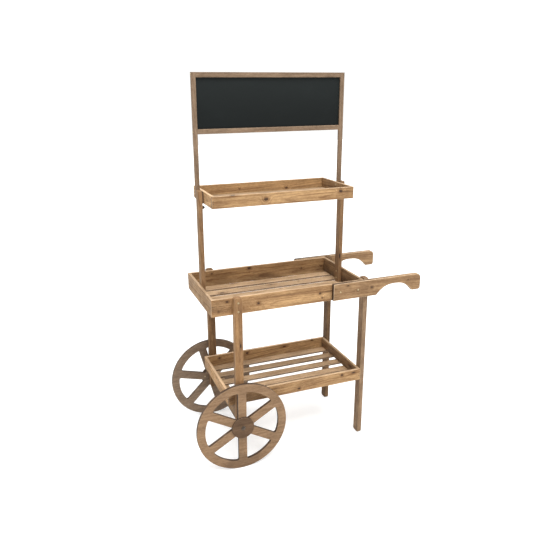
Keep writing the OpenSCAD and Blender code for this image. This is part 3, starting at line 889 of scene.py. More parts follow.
    def slate(self, name: str) -> bpy.types.Material:
        """Chalkboard paint with a faint cloud of wiped chalk, and a painted sheen that makes it paler
        towards its top.

        Args:
            name: material name.

        Returns:
            The material.
        """
        material, w, shader = self.start(name)
        place = w.place()
        wiped = w.noise(w.vector("MULTIPLY", place, (5, 5, 16)), 1.0, 5.0, 0.6, 0.6)
        cloud = w.ramp(wiped, 0.42, 0.85)
        grain = w.noise(place, 900.0, 3.0, 0.6)
        height = w.tree.nodes.new("ShaderNodeSeparateXYZ")
        w.put(height.inputs[0], place)
        # Painted sheen: paler towards the top, mixed with the wiped chalk cloud.
        chalk_and_sheen = w.math("MULTIPLY_ADD", w.ramp(height.outputs[2], 1.44, 1.63), 0.6,
                       w.math("MULTIPLY", cloud, 0.35))
        colour = w.mix(chalk_and_sheen, (0.0082, 0.0108, 0.0108), (0.0195, 0.0238, 0.0238))
        colour = w.mix(w.math("MULTIPLY", w.ramp(grain, 0.55, 0.8), 0.22), colour, (0.035, 0.040, 0.040))
        w.put(shader.inputs["Base Color"], colour)
        w.put(shader.inputs["Roughness"], w.math("MULTIPLY_ADD", cloud, 0.15, 0.72))
        shader.inputs["Specular IOR Level"].default_value = 0.18
        w.relief(shader, grain, 0.3, 0.0003)
        return material

    def floor(self, name: str) -> bpy.types.Material:
        """Plain pale studio floor, faintly uneven in shade, brighter to the eye than as a light.

        Args:
            name: material name.

        Returns:
            The material.
        """
        material, w, shader = self.start(name)
        place = w.place()
        shade = w.noise(place, 1.3, 2.0, 0.5)
        w.put(shader.inputs["Base Color"], w.mix(shade, (0.68, 0.68, 0.68), (0.70, 0.70, 0.695)))
        shader.inputs["Roughness"].default_value = 0.85
        shader.inputs["Specular IOR Level"].default_value = 0.1
        shader.inputs["Emission Color"].default_value = (1.0, 1.0, 1.0, 1.0)
        seen = w.tree.nodes.new("ShaderNodeLightPath").outputs["Is Camera Ray"]
        w.put(shader.inputs["Emission Strength"], w.math("MULTIPLY", seen, 0.45))
        return material


# ---------------------------------------------------------------- pieces


@dataclass
class Sawn:
    """One sawn stick of a timber piece.

    Args:
        facing: plane of its outline.
        loops: outlines in metres, the first anticlockwise and holes clockwise.
        low: low face along the thickness.
        high: high face along the thickness.
        grain: way of its fibres.
        arris: radius of its rounded edges, or one each for the low and the high face.
        dark_edges: 1 where every sawn edge is dark, 0 where only the ends are.
        inner: axis and side (1 high, -1 low) of the inner face that takes painted shade, or None.
        ends: weight of the cut colour on the low and on the high end.
        shade: brightness of this stick against the others of its piece.
    """

    facing: Facing
    loops: list
    low: float
    high: float
    grain: Grain
    arris: float | tuple = 0.0011
    dark_edges: float = 0.0
    inner: tuple | None = None
    ends: tuple = (1.0, 1.0)
    shade: float = 1.0

    def order(self) -> list[int]:
        """Tells which way the stick lies.

        Returns:
            Axes of the frame along its fibres, across them and through it.
        """
        axes = list(self.facing.value)
        place = axes.index(self.grain.value)
        axes[0], axes[place] = axes[place], axes[0]
        return axes

    def surface(self, seed: int) -> Surface:
        """Builds the stick in the cart's frame.

        The value "timber" is the point's place along, across and through the timber, plus a
        seeded shift that sets where in the log it was sawn from. "rim" is 1 on planed long
        edges. "painted_shade" is painted shade: 0 away from the inner face, and on it falling
        from 1 at its foot to 0.45 at its top.

        Args:
            seed: seed of its place in the log.

        Returns:
            The surface with every value that the wood material reads.
        """
        radii = self.arris if isinstance(self.arris, tuple) else (self.arris, self.arris)
        made = sawn_piece(self.loops, self.low, self.high, radii, WEAR_BAND)
        a, b, c = self.facing.value
        points = np.empty_like(made.points)
        points[:, [a, b, c]] = made.points
        if self.facing is Facing.FRONT:
            made.faces = [f[::-1] for f in made.faces]
        rng = np.random.default_rng(seed)
        timber = points[:, self.order()]
        tilt = rng.uniform(-0.05, 0.05, 2)
        middle = timber.mean(0)
        along, across = rng.uniform(-4, 4), rng.uniform(-0.03, 0.03)
        through = rng.choice([-1, 1]) * rng.uniform(0.02, 0.06)
        shift = np.array([along, across - middle[1], through - middle[2]])
        timber = timber + shift
        timber[:, 1] += tilt[0] * (timber[:, 0] - shift[0])
        timber[:, 2] += tilt[1] * (timber[:, 0] - shift[0])
        axis = self.grain.value
        ends = made.values["cut_a"] if axis == a else made.values["cut_b"] if axis == b else 0.0
        every = np.maximum(made.values["cut_a"], made.values["cut_b"])
        run = points[:, axis]
        far = (run > (run.min() + run.max()) / 2).astype(float)
        cut = np.maximum(ends * (self.ends[0] * (1 - far) + self.ends[1] * far), every * self.dark_edges)
        sides = made.values["cut_b"] if self.inner and self.inner[0] == a else every
        rim = np.clip(sides - ends, 0, 1) * (1 - self.dark_edges)
        # Painted shade on the inner face, strongest at its foot.
        painted_shade = np.zeros(len(points))
        if self.inner:
            depth = points[:, self.inner[0]]
            part = (depth - depth.min()) / np.ptp(depth)
            part = part if self.inner[1] > 0 else 1 - part
            height = (points[:, 2] - points[:, 2].min()) / np.ptp(points[:, 2])
            painted_shade = np.clip((part - 0.6) / 0.3, 0, 1) * (1 - 0.55 * height)
        values = {"edge": made.values["edge"], "cut": cut, "rim": rim, "painted_shade": painted_shade, "timber": timber,
                  "shade": np.full(len(points), self.shade)}
        return Surface(points, made.faces, values)


def make_object(name: str, surface: Surface, smooth: float = 40.0) -> bpy.types.Object:
    """Puts a surface into a mesh object at the origin, with its values as point attributes.

    Args:
        name: object and mesh name.
        surface: the surface.
        smooth: faces meeting at less than this many degrees are shaded as one.

    Returns:
        The object.
    """
    mesh = bpy.data.meshes.new(name)
    mesh.from_pydata(surface.points.tolist(), [], surface.faces)
    for label, data in surface.values.items():
        kind, part = ("FLOAT_VECTOR", "vector") if data.ndim == 2 else ("FLOAT", "value")
        layer = mesh.attributes.new(label, kind, "POINT")
        layer.data.foreach_set(part, np.ascontiguousarray(data, np.float32).reshape(-1))
    mesh.polygons.foreach_set("use_smooth", np.ones(len(mesh.polygons), bool))
    mesh.update()
    mesh.validate()
    mesh.set_sharp_from_angle(angle=math.radians(smooth))
    made = bpy.data.objects.new(name, mesh)
    bpy.context.scene.collection.objects.link(made)
    return made


@dataclass
class Workshop:
    """Turns sticks into finished pieces that stand for CAD nodes.

    Args:
        finishes: the shared shader groups.
        count: number of pieces made so far; it seeds each piece's wood.
    """

    finishes: Finishes
    count: int = 0

    def timber(self, node: str, sticks: list, tone: float = 1.0, knots: tuple = (),
               finish: WoodFinish = FIR, stray: float = 0.22, slot: str = "stained_wood") -> None:
        """Makes, dresses and places one timber piece.

        Args:
            node: the CAD node it stands for; the piece is named after it.
            sticks: its sawn sticks.
            tone: brightness against the other pieces.
            knots: its stated knots.
            finish: kind of timber.
            stray: share of pin knots.
            slot: the record's material slot.
        """
        self.count += 1
        seed = 100 + 7 * self.count
        surface = join_surfaces([s.surface(seed + 1000 * i) for i, s in enumerate(sticks)])
        piece = make_object(node + "_timber", surface)
        run, wide, _ = sticks[0].order()
        spots = []
        for k in knots:
            spot, reach = [0.0, 0.0, 0.0], [0.0, 0.0, 0.0]
            spot[run], spot[wide] = k.along * MM, k.across * MM
            reach[run], reach[wide] = 1 / k.stretch, 1.0
            spots.append((tuple(spot), tuple(reach), k.size * MM, k.dark))
        piece.data.materials.append(self.finishes.wood("wood " + node, finish, tone, spots, stray))
        self.place(piece, node, slot)

    def place(self, piece: bpy.types.Object, node: str, slot: str) -> None:
        """Lets a piece ride on its CAD node's body and stand for the node.

        Args:
            piece: the finished piece.
            node: the CAD node.
            slot: not used.
        """
        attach(piece, frame["nodes"][node]["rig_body"])
        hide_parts(node)
        LOG.info("%s stands for %s", piece.name, node)


def ends(node: str) -> tuple[np.ndarray, np.ndarray]:
    """Low and high corner of a CAD node as arrays."""
    low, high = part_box(node)
    return np.array(low), np.array(high)


@dataclass
class SlattedTray:
    """A tray or shelf: two long boards, two rebated end boards and its floor slats.

    Args:
        name: prefix of its CAD nodes.
        slats: number of slats.
        tones: brightness of front, back, left and right board and of the slats.
        painted_shades: how much painted shade darkens the inner face of each board.
        knots: knots of each board by its side, and of the slats.
        slat_width: width of one slat.
        slat_depth: thickness of a slat, which is also the height of the end boards' rebate.
        rebate: depth of that rebate.
        arris: radius of the boards' rounded edges.
        back_grime: strength of the dark wash on the back board, which the weather spared.
    """

    name: str
    slats: int
    tones: dict
    painted_shades: dict
    knots: dict = field(default_factory=dict)
    slat_width: float = 0.040
    slat_depth: float = 0.008
    rebate: float = 0.006
    arris: float = 0.0011
    back_grime: float = 0.3

    def build(self, shop: Workshop) -> None:
        """Builds its five pieces.

        Args:
            shop: where its pieces are finished.
        """
        for i, side in enumerate(("front", "back")):
            self.long_board(shop, side, 11 + i)
        for side in ("left", "right"):
            self.end_board(shop, side)
        self.floor(shop)

    def long_board(self, shop: Workshop, side: str, seed: int) -> None:
        """Front or back board, drawn from the front, with fibres along the cart.

        Args:
            shop: where its pieces are finished.
            side: front or back.
            seed: seed of its edges' wander.
        """
        node = f"{self.name}_{side}_board"
        low, high = ends(node)
        loop = box_loop((low[0], low[2]), (high[0], high[2]), EASING, WAVER, seed)
        stick = Sawn(Facing.FRONT, [loop], low[1], high[1], Grain.ALONG, self.arris,
                     inner=(1, 1 if side == "front" else -1))
        grime = FIR.grime if side == "front" else self.back_grime
        shop.timber(node, [stick], self.tones[side], self.knots.get(side, ()),
                    replace(FIR, painted_shade=self.painted_shades[side], grime=grime))

    def end_board(self, shop: Workshop, side: str) -> None:
        """Left or right board: an L-shaped section carried across the cart.

        Args:
            shop: where its pieces are finished.
            side: left or right.
        """
        node = f"{self.name}_{side}_board"
        low, high = ends(node)
        x0, x1, z0, z1 = low[0], high[0], low[2], high[2]
        corners = [(x0, z0), (x1 - self.rebate, z0), (x1 - self.rebate, z0 + self.slat_depth),
                   (x1, z0 + self.slat_depth), (x1, z1), (x0, z1)]
        if side == "right":
            corners = [(x0 + x1 - a, b) for a, b in corners][::-1]
        stick = Sawn(Facing.FRONT, [rounded_loop(corners, 0.0012)], low[1], high[1],
                     Grain.ACROSS, 0.0005, inner=(0, 1 if side == "left" else -1))
        shop.timber(node, [stick], self.tones[side], self.knots.get(side, ()),
                    replace(FIR, painted_shade=self.painted_shades[side]))

    def floor(self, shop: Workshop) -> None:
        """Slats at an even pitch, with fibres along the cart.

        Args:
            shop: where its pieces are finished.
        """
        node = f"{self.name}_slats"
        low, high = ends(node)
        starts = np.linspace(low[1], high[1] - self.slat_width, self.slats)
        shades = 0.94 + 0.10 * smooth_noise(np.arange(self.slats) * 2.1, len(self.name))
        sticks = []
        for i, y in enumerate(starts):
            loop = box_loop((low[0], y), (high[0], y + self.slat_width), EASING, 0.0005, 31 + i)
            # Every sawn edge of a slat takes the dark cut colour, as painted shade in the gaps between
            # slats.
            sticks.append(Sawn(Facing.TOP, [loop], low[2], high[2], Grain.ALONG, 0.0008, 1.0,
                               shade=float(shades[i])))
        shop.timber(node, sticks, self.tones["slats"], self.knots.get("slats", ()), SLAT_SHEEN_AND_GAP_SHADE_WOOD)


@dataclass
class Undercarriage:
    """Legs, cross beam and the wheels on their axle.

    Args:
        corner: radius of the legs' rounded ends.
        spokes: number of spokes of a wheel.
        rim: width of a wheel's rim.
        spoke: width of a spoke.
        hub: radius of a wheel's solid middle.
        bore: radius of a wheel's axle hole.
        pilot: radius of the bolt hole in a hub plate.
        back_turn: how far the back wheel has rolled on from the front one, degrees.
    """

    corner: float = 0.010
    spokes: int = 6
    rim: float = 0.036
    spoke: float = 0.037
    hub: float = 0.043
    bore: float = 0.00805
    pilot: float = 0.0034
    back_turn: float = 45.0

    def leg_loop(self, a0: float, a1: float, b0: float, b1: float) -> np.ndarray:
        """Upright bar with its four corners rounded by true arcs.

        Args:
            a0: its left side.
            a1: its right side.
            b0: its foot.
            b1: its top.

        Returns:
            Anticlockwise loop.
        """
        r = self.corner
        centres = ((a1 - r, b0 + r), (a1 - r, b1 - r), (a0 + r, b1 - r), (a0 + r, b0 + r))
        starts = (-90, 0, 90, 180)
        return np.concatenate([arc_points(c, r, t, t + 90, 9) for c, t in zip(centres, starts)])

    def leg(self, shop: Workshop, node: str, facing: Facing, finish: WoodFinish, tones: dict,
            knots: dict) -> None:
        """Round-cornered leg.

        Args:
            shop: where its pieces are finished.
            node: the leg's CAD node.
            facing: plane in which its ends are rounded.
            finish: its timber.
            tones: brightness of each piece.
            knots: stated knots of the pieces that have some.
        """
        low, high = ends(node)
        a, b, c = facing.value
        loop = self.leg_loop(low[a], high[a], low[b], high[b])
        stick = Sawn(facing, [loop], low[c], high[c], Grain.UPRIGHT, 0.0016)
        shop.timber(node, [stick], tones[node], knots.get(node, ()), finish)

    def build(self, shop: Workshop, tones: dict, knots: dict) -> None:
        """Builds legs, beam and both wheels.

        Args:
            shop: where its pieces are finished.
            tones: brightness of each piece.
            knots: stated knots of the pieces that have some.
        """
        self.leg(shop, "leg_front_left", Facing.FRONT, LEG_WOOD, tones, knots)
        self.leg(shop, "leg_back_left", Facing.FRONT, LEG_WOOD, tones, knots)
        self.leg(shop, "leg_front_right", Facing.SIDE, GREY_LEG_WOOD, tones, knots)
        self.leg(shop, "leg_back_right", Facing.SIDE, LEG_WOOD, tones, knots)
        low, high = ends("axle_beam")
        loop = box_loop((low[1], low[2]), (high[1], high[2]), EASING, WAVER, 5)
        stick = Sawn(Facing.SIDE, [loop], low[0], high[0], Grain.ACROSS, 0.0012)
        shop.timber("axle_beam", [stick], tones["axle_beam"], slot="dark_wood")
        self.wheel(shop, "front", 0.0, tones, knots)
        self.wheel(shop, "back", self.back_turn, tones, knots)

    def window(self, start: float, radius: float) -> np.ndarray:
        """Window between two spokes of a wheel about the origin.

        It is bounded by the rim's arc, two lines parallel to its spokes and the hub's arc;
        each of its points is then averaged twice with its neighbours, which eases the four
        corners.

        Args:
            start: angle of the spoke it starts at, in radians.
            radius: radius of the rim's inner side.

        Returns:
            Anticlockwise loop.
        """
        stop = start + 2 * math.pi / self.spokes
        near_lean, far_lean = (math.asin(self.spoke / 2 / r) for r in (self.hub, radius))
        far = np.linspace(start + far_lean, stop - far_lean, 26)
        near = np.linspace(stop - near_lean, start + near_lean, 5)
        rim = np.stack([np.cos(far), np.sin(far)], 1) * radius
        hub = np.stack([np.cos(near), np.sin(near)], 1) * self.hub
        t = np.linspace(0, 1, 24)[1:-1, None]
        loop = np.concatenate([rim, rim[-1] + (hub[0] - rim[-1]) * t, hub, hub[-1] + (rim[0] - hub[-1]) * t])
        for _ in range(2):
            loop = loop * 0.5 + (np.roll(loop, 1, 0) + np.roll(loop, -1, 0)) * 0.25
        return loop

    def wheel(self, shop: Workshop, side: str, turn: float, tones: dict, knots: dict) -> None:
        """Flat spoked wheel and its round hub plate.

        Args:
            shop: where its pieces are finished.
            side: front or back.
            turn: how far it has rolled, degrees.
            tones: brightness of each piece.
            knots: stated knots of the pieces that have some.
        """
        node = f"wheel_{side}"
        low, high = ends(node)
        centre = ((low[0] + high[0]) / 2, (low[2] + high[2]) / 2)
        radius = (high[0] - low[0]) / 2
        loops = [arc_points(centre, radius, 0, 360, 145)[:-1]]
        for i in range(self.spokes):
            start = math.radians(90 - turn + i * 360 / self.spokes)
            loops.append((self.window(start, radius - self.rim) + np.array(centre))[::-1])
        loops.append(arc_points(centre, self.bore, 360, 0, 33)[:-1])
        stick = Sawn(Facing.FRONT, loops, low[1], high[1], Grain.ALONG, 0.0009, 1.0)
        finish = WHEEL_WOOD if side == "front" else GREY_WHEEL_WOOD
        shop.timber(node, [stick], tones[node], knots.get(node, ()), finish, 0.1)
        node = f"hub_plate_{side}"
        low, high = ends(node)
        disc = arc_points(centre, (high[0] - low[0]) / 2, 0, 360, 73)[:-1]
        hole = arc_points(centre, self.pilot, 360, 0, 25)[:-1]
        stick = Sawn(Facing.FRONT, [disc, hole], low[1], high[1], Grain.ALONG, 0.0009, 1.0)
        shop.timber(node, [stick], tones["hub_plate"], (), HUB_WOOD, 0.0, "dark_wood")


@dataclass
class Superstructure:
    """Handles, posts, spacers and the framed chalkboard.

    Args:
        tip: length of a handle's tip past its hollow.
        grip: length of the hollow.
        hollow: height of the hollow.
        power: shape of the hollow; the higher, the flatter its middle.
        round_top: radius of the tip's upper corner.
        round_low: radius of the tip's lower corner.
        rail: height of a rail.
        lap: how far the panel laps the frame.
        arris: radius of the rounded edges of stiles and rails.
        joint: radius where their front and back layers meet.
    """

    tip: float = 0.043
    grip: float = 0.185
    hollow: float = 0.044
    power: float = 2.6
    round_top: float = 0.022
    round_low: float = 0.012
    rail: float = 0.020
    lap: float = 0.006
    arris: float = 0.0006
    joint: float = 0.0001

    def build(self, shop: Workshop, tones: dict, knots: dict) -> None:
        """Builds both handles and every piece above the tray.

        Args:
            shop: where its pieces are finished.
            tones: brightness of each piece.
            knots: stated knots of the pieces that have some.
        """
        for side in ("front", "back"):
            self.handle(shop, side, tones, knots)
        for side in ("left", "right"):
            node = f"post_{side}"
            low, high = ends(node)
            loop = box_loop((low[0], low[2]), (high[0], high[2]), EASING, WAVER, 41)
            stick = Sawn(Facing.FRONT, [loop], low[1], high[1], Grain.UPRIGHT, 0.0012)
            shop.timber(node, [stick], tones[node], knots.get(node, ()), POST_WOOD)
        sticks = []
        for points in solids_of("shelf_spacers"):
            low, high = points.min(0), points.max(0)
            loop = box_loop((low[1], low[2]), (high[1], high[2]), 0.001)
            sticks.append(Sawn(Facing.SIDE, [loop], float(low[0]), float(high[0]), Grain.UPRIGHT, 0.0004))
        shop.timber("shelf_spacers", sticks, tones["shelf_spacers"], finish=HUB_WOOD, slot="dark_wood")
        self.sign(shop, tones, knots)

    def handle(self, shop: Workshop, side: str, tones: dict, knots: dict) -> None:
        """Shaped handle: a bar whose lower side is hollowed by a flat-bottomed power curve.

        The hollow's height is `hollow` times one minus the power `power` of the distance from
        its middle over half its length.

        Args:
            shop: where its pieces are finished.
            side: front or back.
            tones: brightness of each piece.
            knots: stated knots of the pieces that have some.
        """
        node = f"handle_{side}"
        low, high = ends(node)
        x0, x1, z0, z1 = low[0], high[0], low[2], high[2]
        middle = x1 - self.tip - self.grip / 2
        u = np.linspace(1, -1, 33)
        hollow = np.stack([middle + u * self.grip / 2, z0 + self.hollow * (1 - np.abs(u) ** self.power)], 1)
        loop = np.concatenate([
            [(x0, z0)], hollow[::-1],
            arc_points((x1 - self.round_low, z0 + self.round_low), self.round_low, -90, 0, 8),
            arc_points((x1 - self.round_top, z1 - self.round_top), self.round_top, 0, 90, 10),
            [(x0, z1)]])
        stick = Sawn(Facing.FRONT, [loop], low[1], high[1], Grain.ALONG, 0.0022, ends=(1.0, 0.25))
        shop.timber(node, [stick], tones[node], knots.get(node, ()), HANDLE_WOOD)

    def sign(self, shop: Workshop, tones: dict, knots: dict) -> None:
        """Chalkboard: stiles and rails as a full front layer and a back layer cut back for the panel.

        Args:
            shop: where its pieces are finished.
            tones: brightness of each piece.
            knots: stated knots of the pieces that have some.
        """
        panel_low, panel_high = ends("sign_panel")
        seam = float(panel_low[1])
        front, back = (self.arris, self.joint), (self.joint, self.arris)
        inset = self.rail - self.lap
        for side in ("left", "right"):
            node = f"sign_stile_{side}"
            low, high = ends(node)
            x0, x1, z0, z1 = low[0], high[0], low[2], high[2]
            notch_low, notch_high = ends("sign_rail_bottom")[0][2] + inset, z1 - inset
            corners = [(x0, z0), (x1, z0), (x1, notch_low), (x1 - self.lap, notch_low),
                       (x1 - self.lap, notch_high), (x1, notch_high), (x1, z1), (x0, z1)]
            if side == "right":
                corners = [(x0 + x1 - a, b) for a, b in corners][::-1]
            whole = box_loop((x0, z0), (x1, z1), 0.0012, 0.0003, 51)
            cut_back = rounded_loop(corners, 0.0008)
            sticks = [Sawn(Facing.FRONT, [whole], low[1], seam, Grain.UPRIGHT, front),
                      Sawn(Facing.FRONT, [cut_back], seam, high[1], Grain.UPRIGHT, back)]
            shop.timber(node, sticks, tones[node], knots.get(node, ()), SIGN_WOOD)
        for side in ("top", "bottom"):
            node = f"sign_rail_{side}"
            low, high = ends(node)
            z0, z1 = (low[2] + self.lap, high[2]) if side == "top" else (low[2], high[2] - self.lap)
            whole = box_loop((low[0], low[2]), (high[0], high[2]), 0.0008, 0.0003, 53)
            cut_back = box_loop((low[0], z0), (high[0], z1), 0.0008)
            sticks = [Sawn(Facing.FRONT, [whole], low[1], seam, Grain.ALONG, front),
                      Sawn(Facing.FRONT, [cut_back], seam, high[1], Grain.ALONG, back)]
            shop.timber(node, sticks, tones[node], knots.get(node, ()), SIGN_WOOD)
        loop = box_loop((panel_low[0], panel_low[2]), (panel_high[0], panel_high[2]), 0.001)
        stick = Sawn(Facing.FRONT, [loop], panel_low[1], panel_high[1], Grain.ALONG, 0.0005)
        board = make_object("sign_panel_board", stick.surface(900))
        board.data.materials.append(shop.finishes.slate("chalkboard paint"))
        shop.place(board, "sign_panel", "chalkboard")


@dataclass
class Hardware:
    """Screws and nails with worked heads, and the dressed bolts, washers and axle.

    Args:
        sides: points round a screw.
        thread: spacing of the thread's ridges.
        root: radius between the ridges over the ridges' radius.
        recess: half width of an arm of the driving cross.
        cross: reach of the cross from the middle of the head.
        sink: depth of the cross.
        screw_head: height of a screw's head.
        nail_head: height of a nail's head.
    """

    sides: int = 24
    thread: float = 0.0022
    root: float = 0.72
    recess: float = 0.00055
    cross: float = 0.0023
    sink: float = 0.0009
    screw_head: float = 0.0016
    nail_head: float = 0.0004

    def screw(self, points: np.ndarray, crossed: bool) -> Surface:
        """One screw or nail inside the box of its CAD solid.

        A profile of radius against height is turned round the solid's long axis: a domed
        head, a shank, ridged on a screw, and a point. Points of a screw's head inside the arms
        of a cross are sunk.

        Args:
            points: the CAD solid's points.
            crossed: whether it is a screw; a nail is plain.

        Returns:
            The surface, in metres.
        """
        head = self.screw_head if crossed else self.nail_head
        low, high = points.min(0), points.max(0)
        axis = int(np.argmax(high - low))
        side = [k for k in range(3) if k != axis]
        middle = (low + high) / 2
        away = np.linalg.norm(points[:, side] - middle[side], axis=1)
        top_far = away[points[:, axis] > high[axis] - 1e-4].max()
        low_far = away[points[:, axis] < low[axis] + 1e-4].max()
        way = 1.0 if top_far > low_far else -1.0
        big, small = max(top_far, low_far), min(top_far, low_far)
        length = float(high[axis] - low[axis])
        turn = np.linspace(0, 1, 9)
        bend = turn * math.pi / 2
        dome = np.stack([big * np.sin(bend), head * (0.45 + 0.55 * np.cos(bend))], 1)
        rim = np.array([[big, head * 0.12], [big * 0.96, 0.0], [small, 0.0]])
        count = int((length - head - 3 * small) / self.thread) if crossed else 1
        heights = -np.arange(1, 2 * count + 1) * self.thread / 2
        ridge = np.where(np.arange(2 * count) % 2 == 0, small, small * (self.root if crossed else 1.0))
        shank = np.stack([ridge, heights], 1)
        tip = np.array([[small * 0.55, -(length - head) + small], [0.0, -(length - head)]])
        profile = np.concatenate([dome, rim, shank, tip])
        local, faces = lathe(profile, self.sides)
        if crossed:
            arm = np.minimum(np.abs(local[:, 0]), np.abs(local[:, 1])) < self.recess
            reach = np.linalg.norm(local[:, :2], axis=1) < self.cross
            top = np.arange(len(local)) < len(dome) * self.sides
            local[:, 2] -= np.where(arm & reach & top, self.sink, 0.0)
        made = np.empty_like(local)
        base = (high if way > 0 else low)[axis] - way * head
        made[:, axis] = base + way * local[:, 2]
        made[:, side[0]] = middle[side[0]] + local[:, 0]
        made[:, side[1]] = middle[side[1]] + local[:, 1]
        if (way < 0) != (axis == 1):
            faces = [f[::-1] for f in faces]
        return Surface(made, faces, {"edge": np.zeros(len(made))})

    def build(self, shop: Workshop) -> None:
        """Builds the fasteners and dresses the remaining steel nodes.

        Args:
            shop: where its pieces are finished.
        """
        bright = shop.finishes.metal("brassy plated screws", (0.66, 0.54, 0.32), 0.42, 0.3)
        dull = shop.finishes.metal("dull steel", (0.22, 0.19, 0.16), 0.55, 0.7)
        dark = shop.finishes.metal("blackened steel", (0.06, 0.055, 0.05), 0.5, 0.4)
        screws = ("leg_screws", "handle_screws", "post_screws", "shelf_screws", "sign_screws",
                  "hub_plate_screws_front", "hub_plate_screws_back")
        for node in screws + ("corner_nails",):
            crossed = node != "corner_nails"
            made = join_surfaces([self.screw(points, crossed) for points in solids_of(node)])
            piece = make_object(node + "_worked", made, 35.0)
            weld = piece.modifiers.new("close the poles", "WELD")
            weld.merge_threshold = 0.00001
            piece.data.materials.append(bright if crossed else dull)
            shop.place(piece, node, "steel")
        for node, finish in (("axle", dull), ("axle_bushes", dull), ("hub_bolts", dull),
                             ("hub_washers", dull), ("shelf_bolts", dark)):
            mesh = frame["nodes"][node].data
            mesh.materials.clear()
            mesh.materials.append(finish)


# ---------------------------------------------------------------- studio


@dataclass
class Studio:
    """Floor, lights, surroundings and camera.

    Args:
        stand: camera place in metres.
        turn: camera's heading from +Y towards +X, degrees.
        drop: how far it looks down, degrees.
        roll: its roll, degrees.
        lens: focal length in mm on a 36 mm sensor.
    """

    stand: tuple = (-1.00429, -2.29316, 1.58610)
    turn: float = 20.86
    drop: float = 17.30
    roll: float = -0.31
    lens: float = 39.03

    def build(self, finishes: Finishes) -> None:
        """Sets everything up.

        Args:
            finishes: the shared materials.
        """
        self.camera()
        self.floor(finishes)
        self.surroundings()
        self.light("key", (0.05, -1.0, 1.6), 34.0, 2.6, (1.0, 0.99, 0.97))
        self.light("top", (-0.1, 0.1, 1.0), 60.0, 1.8, (1.0, 1.0, 1.0))

    def camera(self) -> None:
        """Places the camera from its heading, drop and roll."""
        yaw, pitch, roll = (math.radians(v) for v in (self.turn, self.drop, self.roll))
        ahead = Vector((math.sin(yaw) * math.cos(pitch), math.cos(yaw) * math.cos(pitch), -math.sin(pitch)))
        right = Vector((math.cos(yaw), -math.sin(yaw), 0.0))
        up = right.cross(ahead)
        side = right * math.cos(roll) + up * math.sin(roll)
        top = up * math.cos(roll) - right * math.sin(roll)
        data = bpy.data.cameras.new("camera")
        data.lens = self.lens
        data.sensor_width = 36.0
        data.clip_end = 60.0
        made = bpy.data.objects.new("camera", data)
        turned = Matrix((side, top, -ahead)).transposed().to_4x4()
        made.matrix_world = Matrix.Translation(self.stand) @ turned
        bpy.context.scene.collection.objects.link(made)
        bpy.context.scene.camera = made

    def floor(self, finishes: Finishes) -> None:
        """Wide pale floor just under the feet, as a grid that is finer towards its middle.

        Args:
            finishes: the shared materials.
        """
        n = 25
        u = np.linspace(-1, 1, n)
        reach = 14.0 * np.sign(u) * np.abs(u) ** 2
        x, y = np.meshgrid(reach, reach, indexing="ij")
        points = np.stack([x, y, np.full_like(x, -0.0002)], -1).reshape(-1, 3)
        faces = [f[::-1] for f in grid_faces(n, n, wrap_cols=False)]
        made = make_object("studio_floor", Surface(points, faces, {"edge": np.zeros(n * n)}))
        made.data.materials.append(finishes.floor("pale floor"))

    def surroundings(self) -> None:
        """Even white surroundings: bright to the eye, softer as a light."""
        world = bpy.data.worlds.new("studio")
        bpy.context.scene.world = world
        world.use_nodes = True
        tree = world.node_tree
        back = next(n for n in tree.nodes if n.type == "BACKGROUND")
        path = tree.nodes.new("ShaderNodeLightPath")
        w = Wiring(tree)
        strength = w.math("MULTIPLY_ADD", path.outputs["Is Camera Ray"], 0.55, 0.5)
        back.inputs["Color"].default_value = (1.0, 1.0, 1.0, 1.0)
        w.put(back.inputs["Strength"], strength)
        bpy.context.scene.view_settings.view_transform = "Standard"

    def light(self, name: str, way: tuple, spread: float, power: float, colour: tuple) -> None:
        """Wide soft light from far away.

        Args:
            name: light's name.
            way: direction from the cart to the light.
            spread: width of the light's disc as seen from the cart, degrees.
            power: its strength.
            colour: its colour.
        """
        data = bpy.data.lights.new(name, "SUN")
        data.angle = math.radians(spread)
        data.energy = power
        data.color = colour
        made = bpy.data.objects.new(name, data)
        made.matrix_world = Vector(way).to_track_quat("Z", "Y").to_matrix().to_4x4()
        bpy.context.scene.collection.objects.link(made)
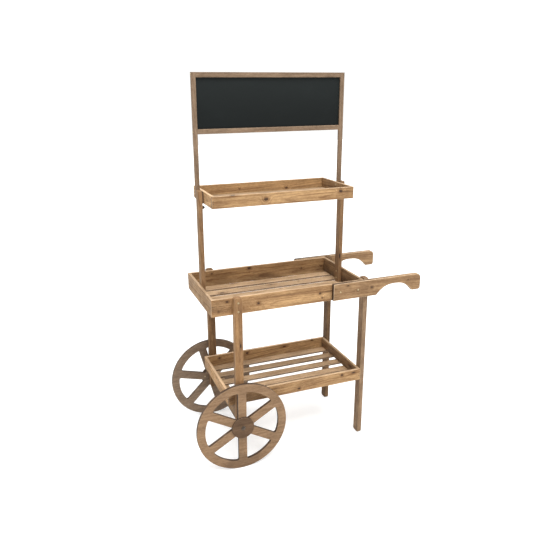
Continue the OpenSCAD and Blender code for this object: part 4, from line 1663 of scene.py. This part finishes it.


# The main tray and both shelves, each with its boards' brightness, the painted shade on their inner faces,
# and knots.
TRAYS = [
    SlattedTray("tray", 5, {"front": 1.07, "back": 1.07, "left": 0.88, "right": 0.80, "slats": 1.13},
                {"front": 0.5, "back": 0.42, "left": 0.4, "right": 0.82},
                {"front": (Knot(-376, 756, 5), Knot(-413, 719, 6, 0.6, 1.0), Knot(-241, 732, 5),
                           Knot(41, 737, 6.5, 0.9, 1.0), Knot(80, 741, 3, 0.6, 15),
                           # The wide faint one at -398 is a painted shadow over the tray front's left end.
                           Knot(52, 716, 4, 0.7), Knot(-398, 738, 32, 0.30, 1.8),
                           Knot(-120, 752, 3, 0.35, 26)),
                 "back": (Knot(-149, 763, 6.5, 0.95), Knot(-149, 746, 5.5, 0.6, 0.2),
                          Knot(-333, 758, 4.5, 0.7), Knot(123, 731, 4, 0.6),
                          Knot(230, 731, 4, 0.6), Knot(256, 732, 6, 0.8, 1.0)),
                 "slats": (Knot(-325, 52, 7.5, 1.0), Knot(60, 75, 4, 0.5), Knot(-60, 8, 4, 0.4))}, 0.049),
    SlattedTray("lower", 5, {"front": 0.94, "back": 1.14, "left": 1.22, "right": 0.9, "slats": 1.0},
                {"front": 0.5, "back": 0.06, "left": 0.4, "right": 0.66},
                # The lower front's wide faint one at -300 is a painted shadow over its left end, beside the
                # front-left leg.
                {"front": (Knot(-52, 299, 5), Knot(162, 324, 5), Knot(-300, 310, 45, 0.3, 2.0),
                           Knot(-190, 322, 4, 0.4, 12)),
                 "back": (Knot(-166, 323, 6), Knot(-309, 321, 5), Knot(189, 334, 5))}, 0.042),
    SlattedTray("upper", 4, {"front": 1.00, "back": 1.09, "left": 1.18, "right": 0.95, "slats": 0.95},
                {"front": 0.3, "back": 0.04, "left": 0.3, "right": 0.4},
                {"front": (Knot(-180, 1151, 7), Knot(159, 1161, 6.5, 1.0, 1.4), Knot(159, 1174, 3, 0.7),
                           Knot(185, 1158, 3, 0.5, 8)),
                 "back": (Knot(27, 1141, 5, 0.9), Knot(-200, 1150, 3.5, 0.5))}, 0.040),
]
# Brightness of the other timber pieces against each other; the back legs' low values are painted shade, as
# they stand in shadow under the tray.
TONES = {"leg_front_left": 0.94, "leg_back_left": 0.70, "leg_front_right": 1.0, "leg_back_right": 0.48,
         "axle_beam": 0.7, "wheel_front": 0.93, "wheel_back": 0.90, "hub_plate": 0.8,
         "handle_front": 1.0, "handle_back": 0.93, "post_left": 0.92, "post_right": 0.84,
         "shelf_spacers": 0.8, "sign_stile_left": 0.95, "sign_stile_right": 0.95,
         "sign_rail_top": 0.93, "sign_rail_bottom": 0.99}
# Knots of the other timber pieces; a wide faint one is a darker patch.
KNOTS = {"handle_front": (Knot(284, 741, 4.5), Knot(214, 736, 3.5, 0.9), Knot(470, 752, 3, 0.6)),
         "handle_back": (Knot(330, 752, 4, 0.7),),
         "leg_front_left": (Knot(-340, 568, 3.5, 0.6), Knot(-344, 455, 5, 0.6, 1.6),
                            Knot(-341, 380, 4, 0.4, 8)),
         # The front wheel's two wide faint ones are painted shade over its bottom and lower right.
         "wheel_front": (Knot(-337, 18, 62, 0.32, 1.5), Knot(-190, 120, 40, 0.16, 1.0)),
         "wheel_back": (Knot(-470, 130, 40, 0.15, 1.0),)}


def main() -> None:
    """Builds the cart's pieces, then the studio."""
    logging.basicConfig(level=logging.INFO, format="%(name)s: %(message)s")
    finishes = Finishes()
    shop = Workshop(finishes)
    for tray in TRAYS:
        tray.build(shop)
    Undercarriage().build(shop, TONES, KNOTS)
    Superstructure().build(shop, TONES, KNOTS)
    Hardware().build(shop)
    Studio().build(finishes)
    LOG.info("%d timber pieces", shop.count)


if __name__ == "__main__":
    main()
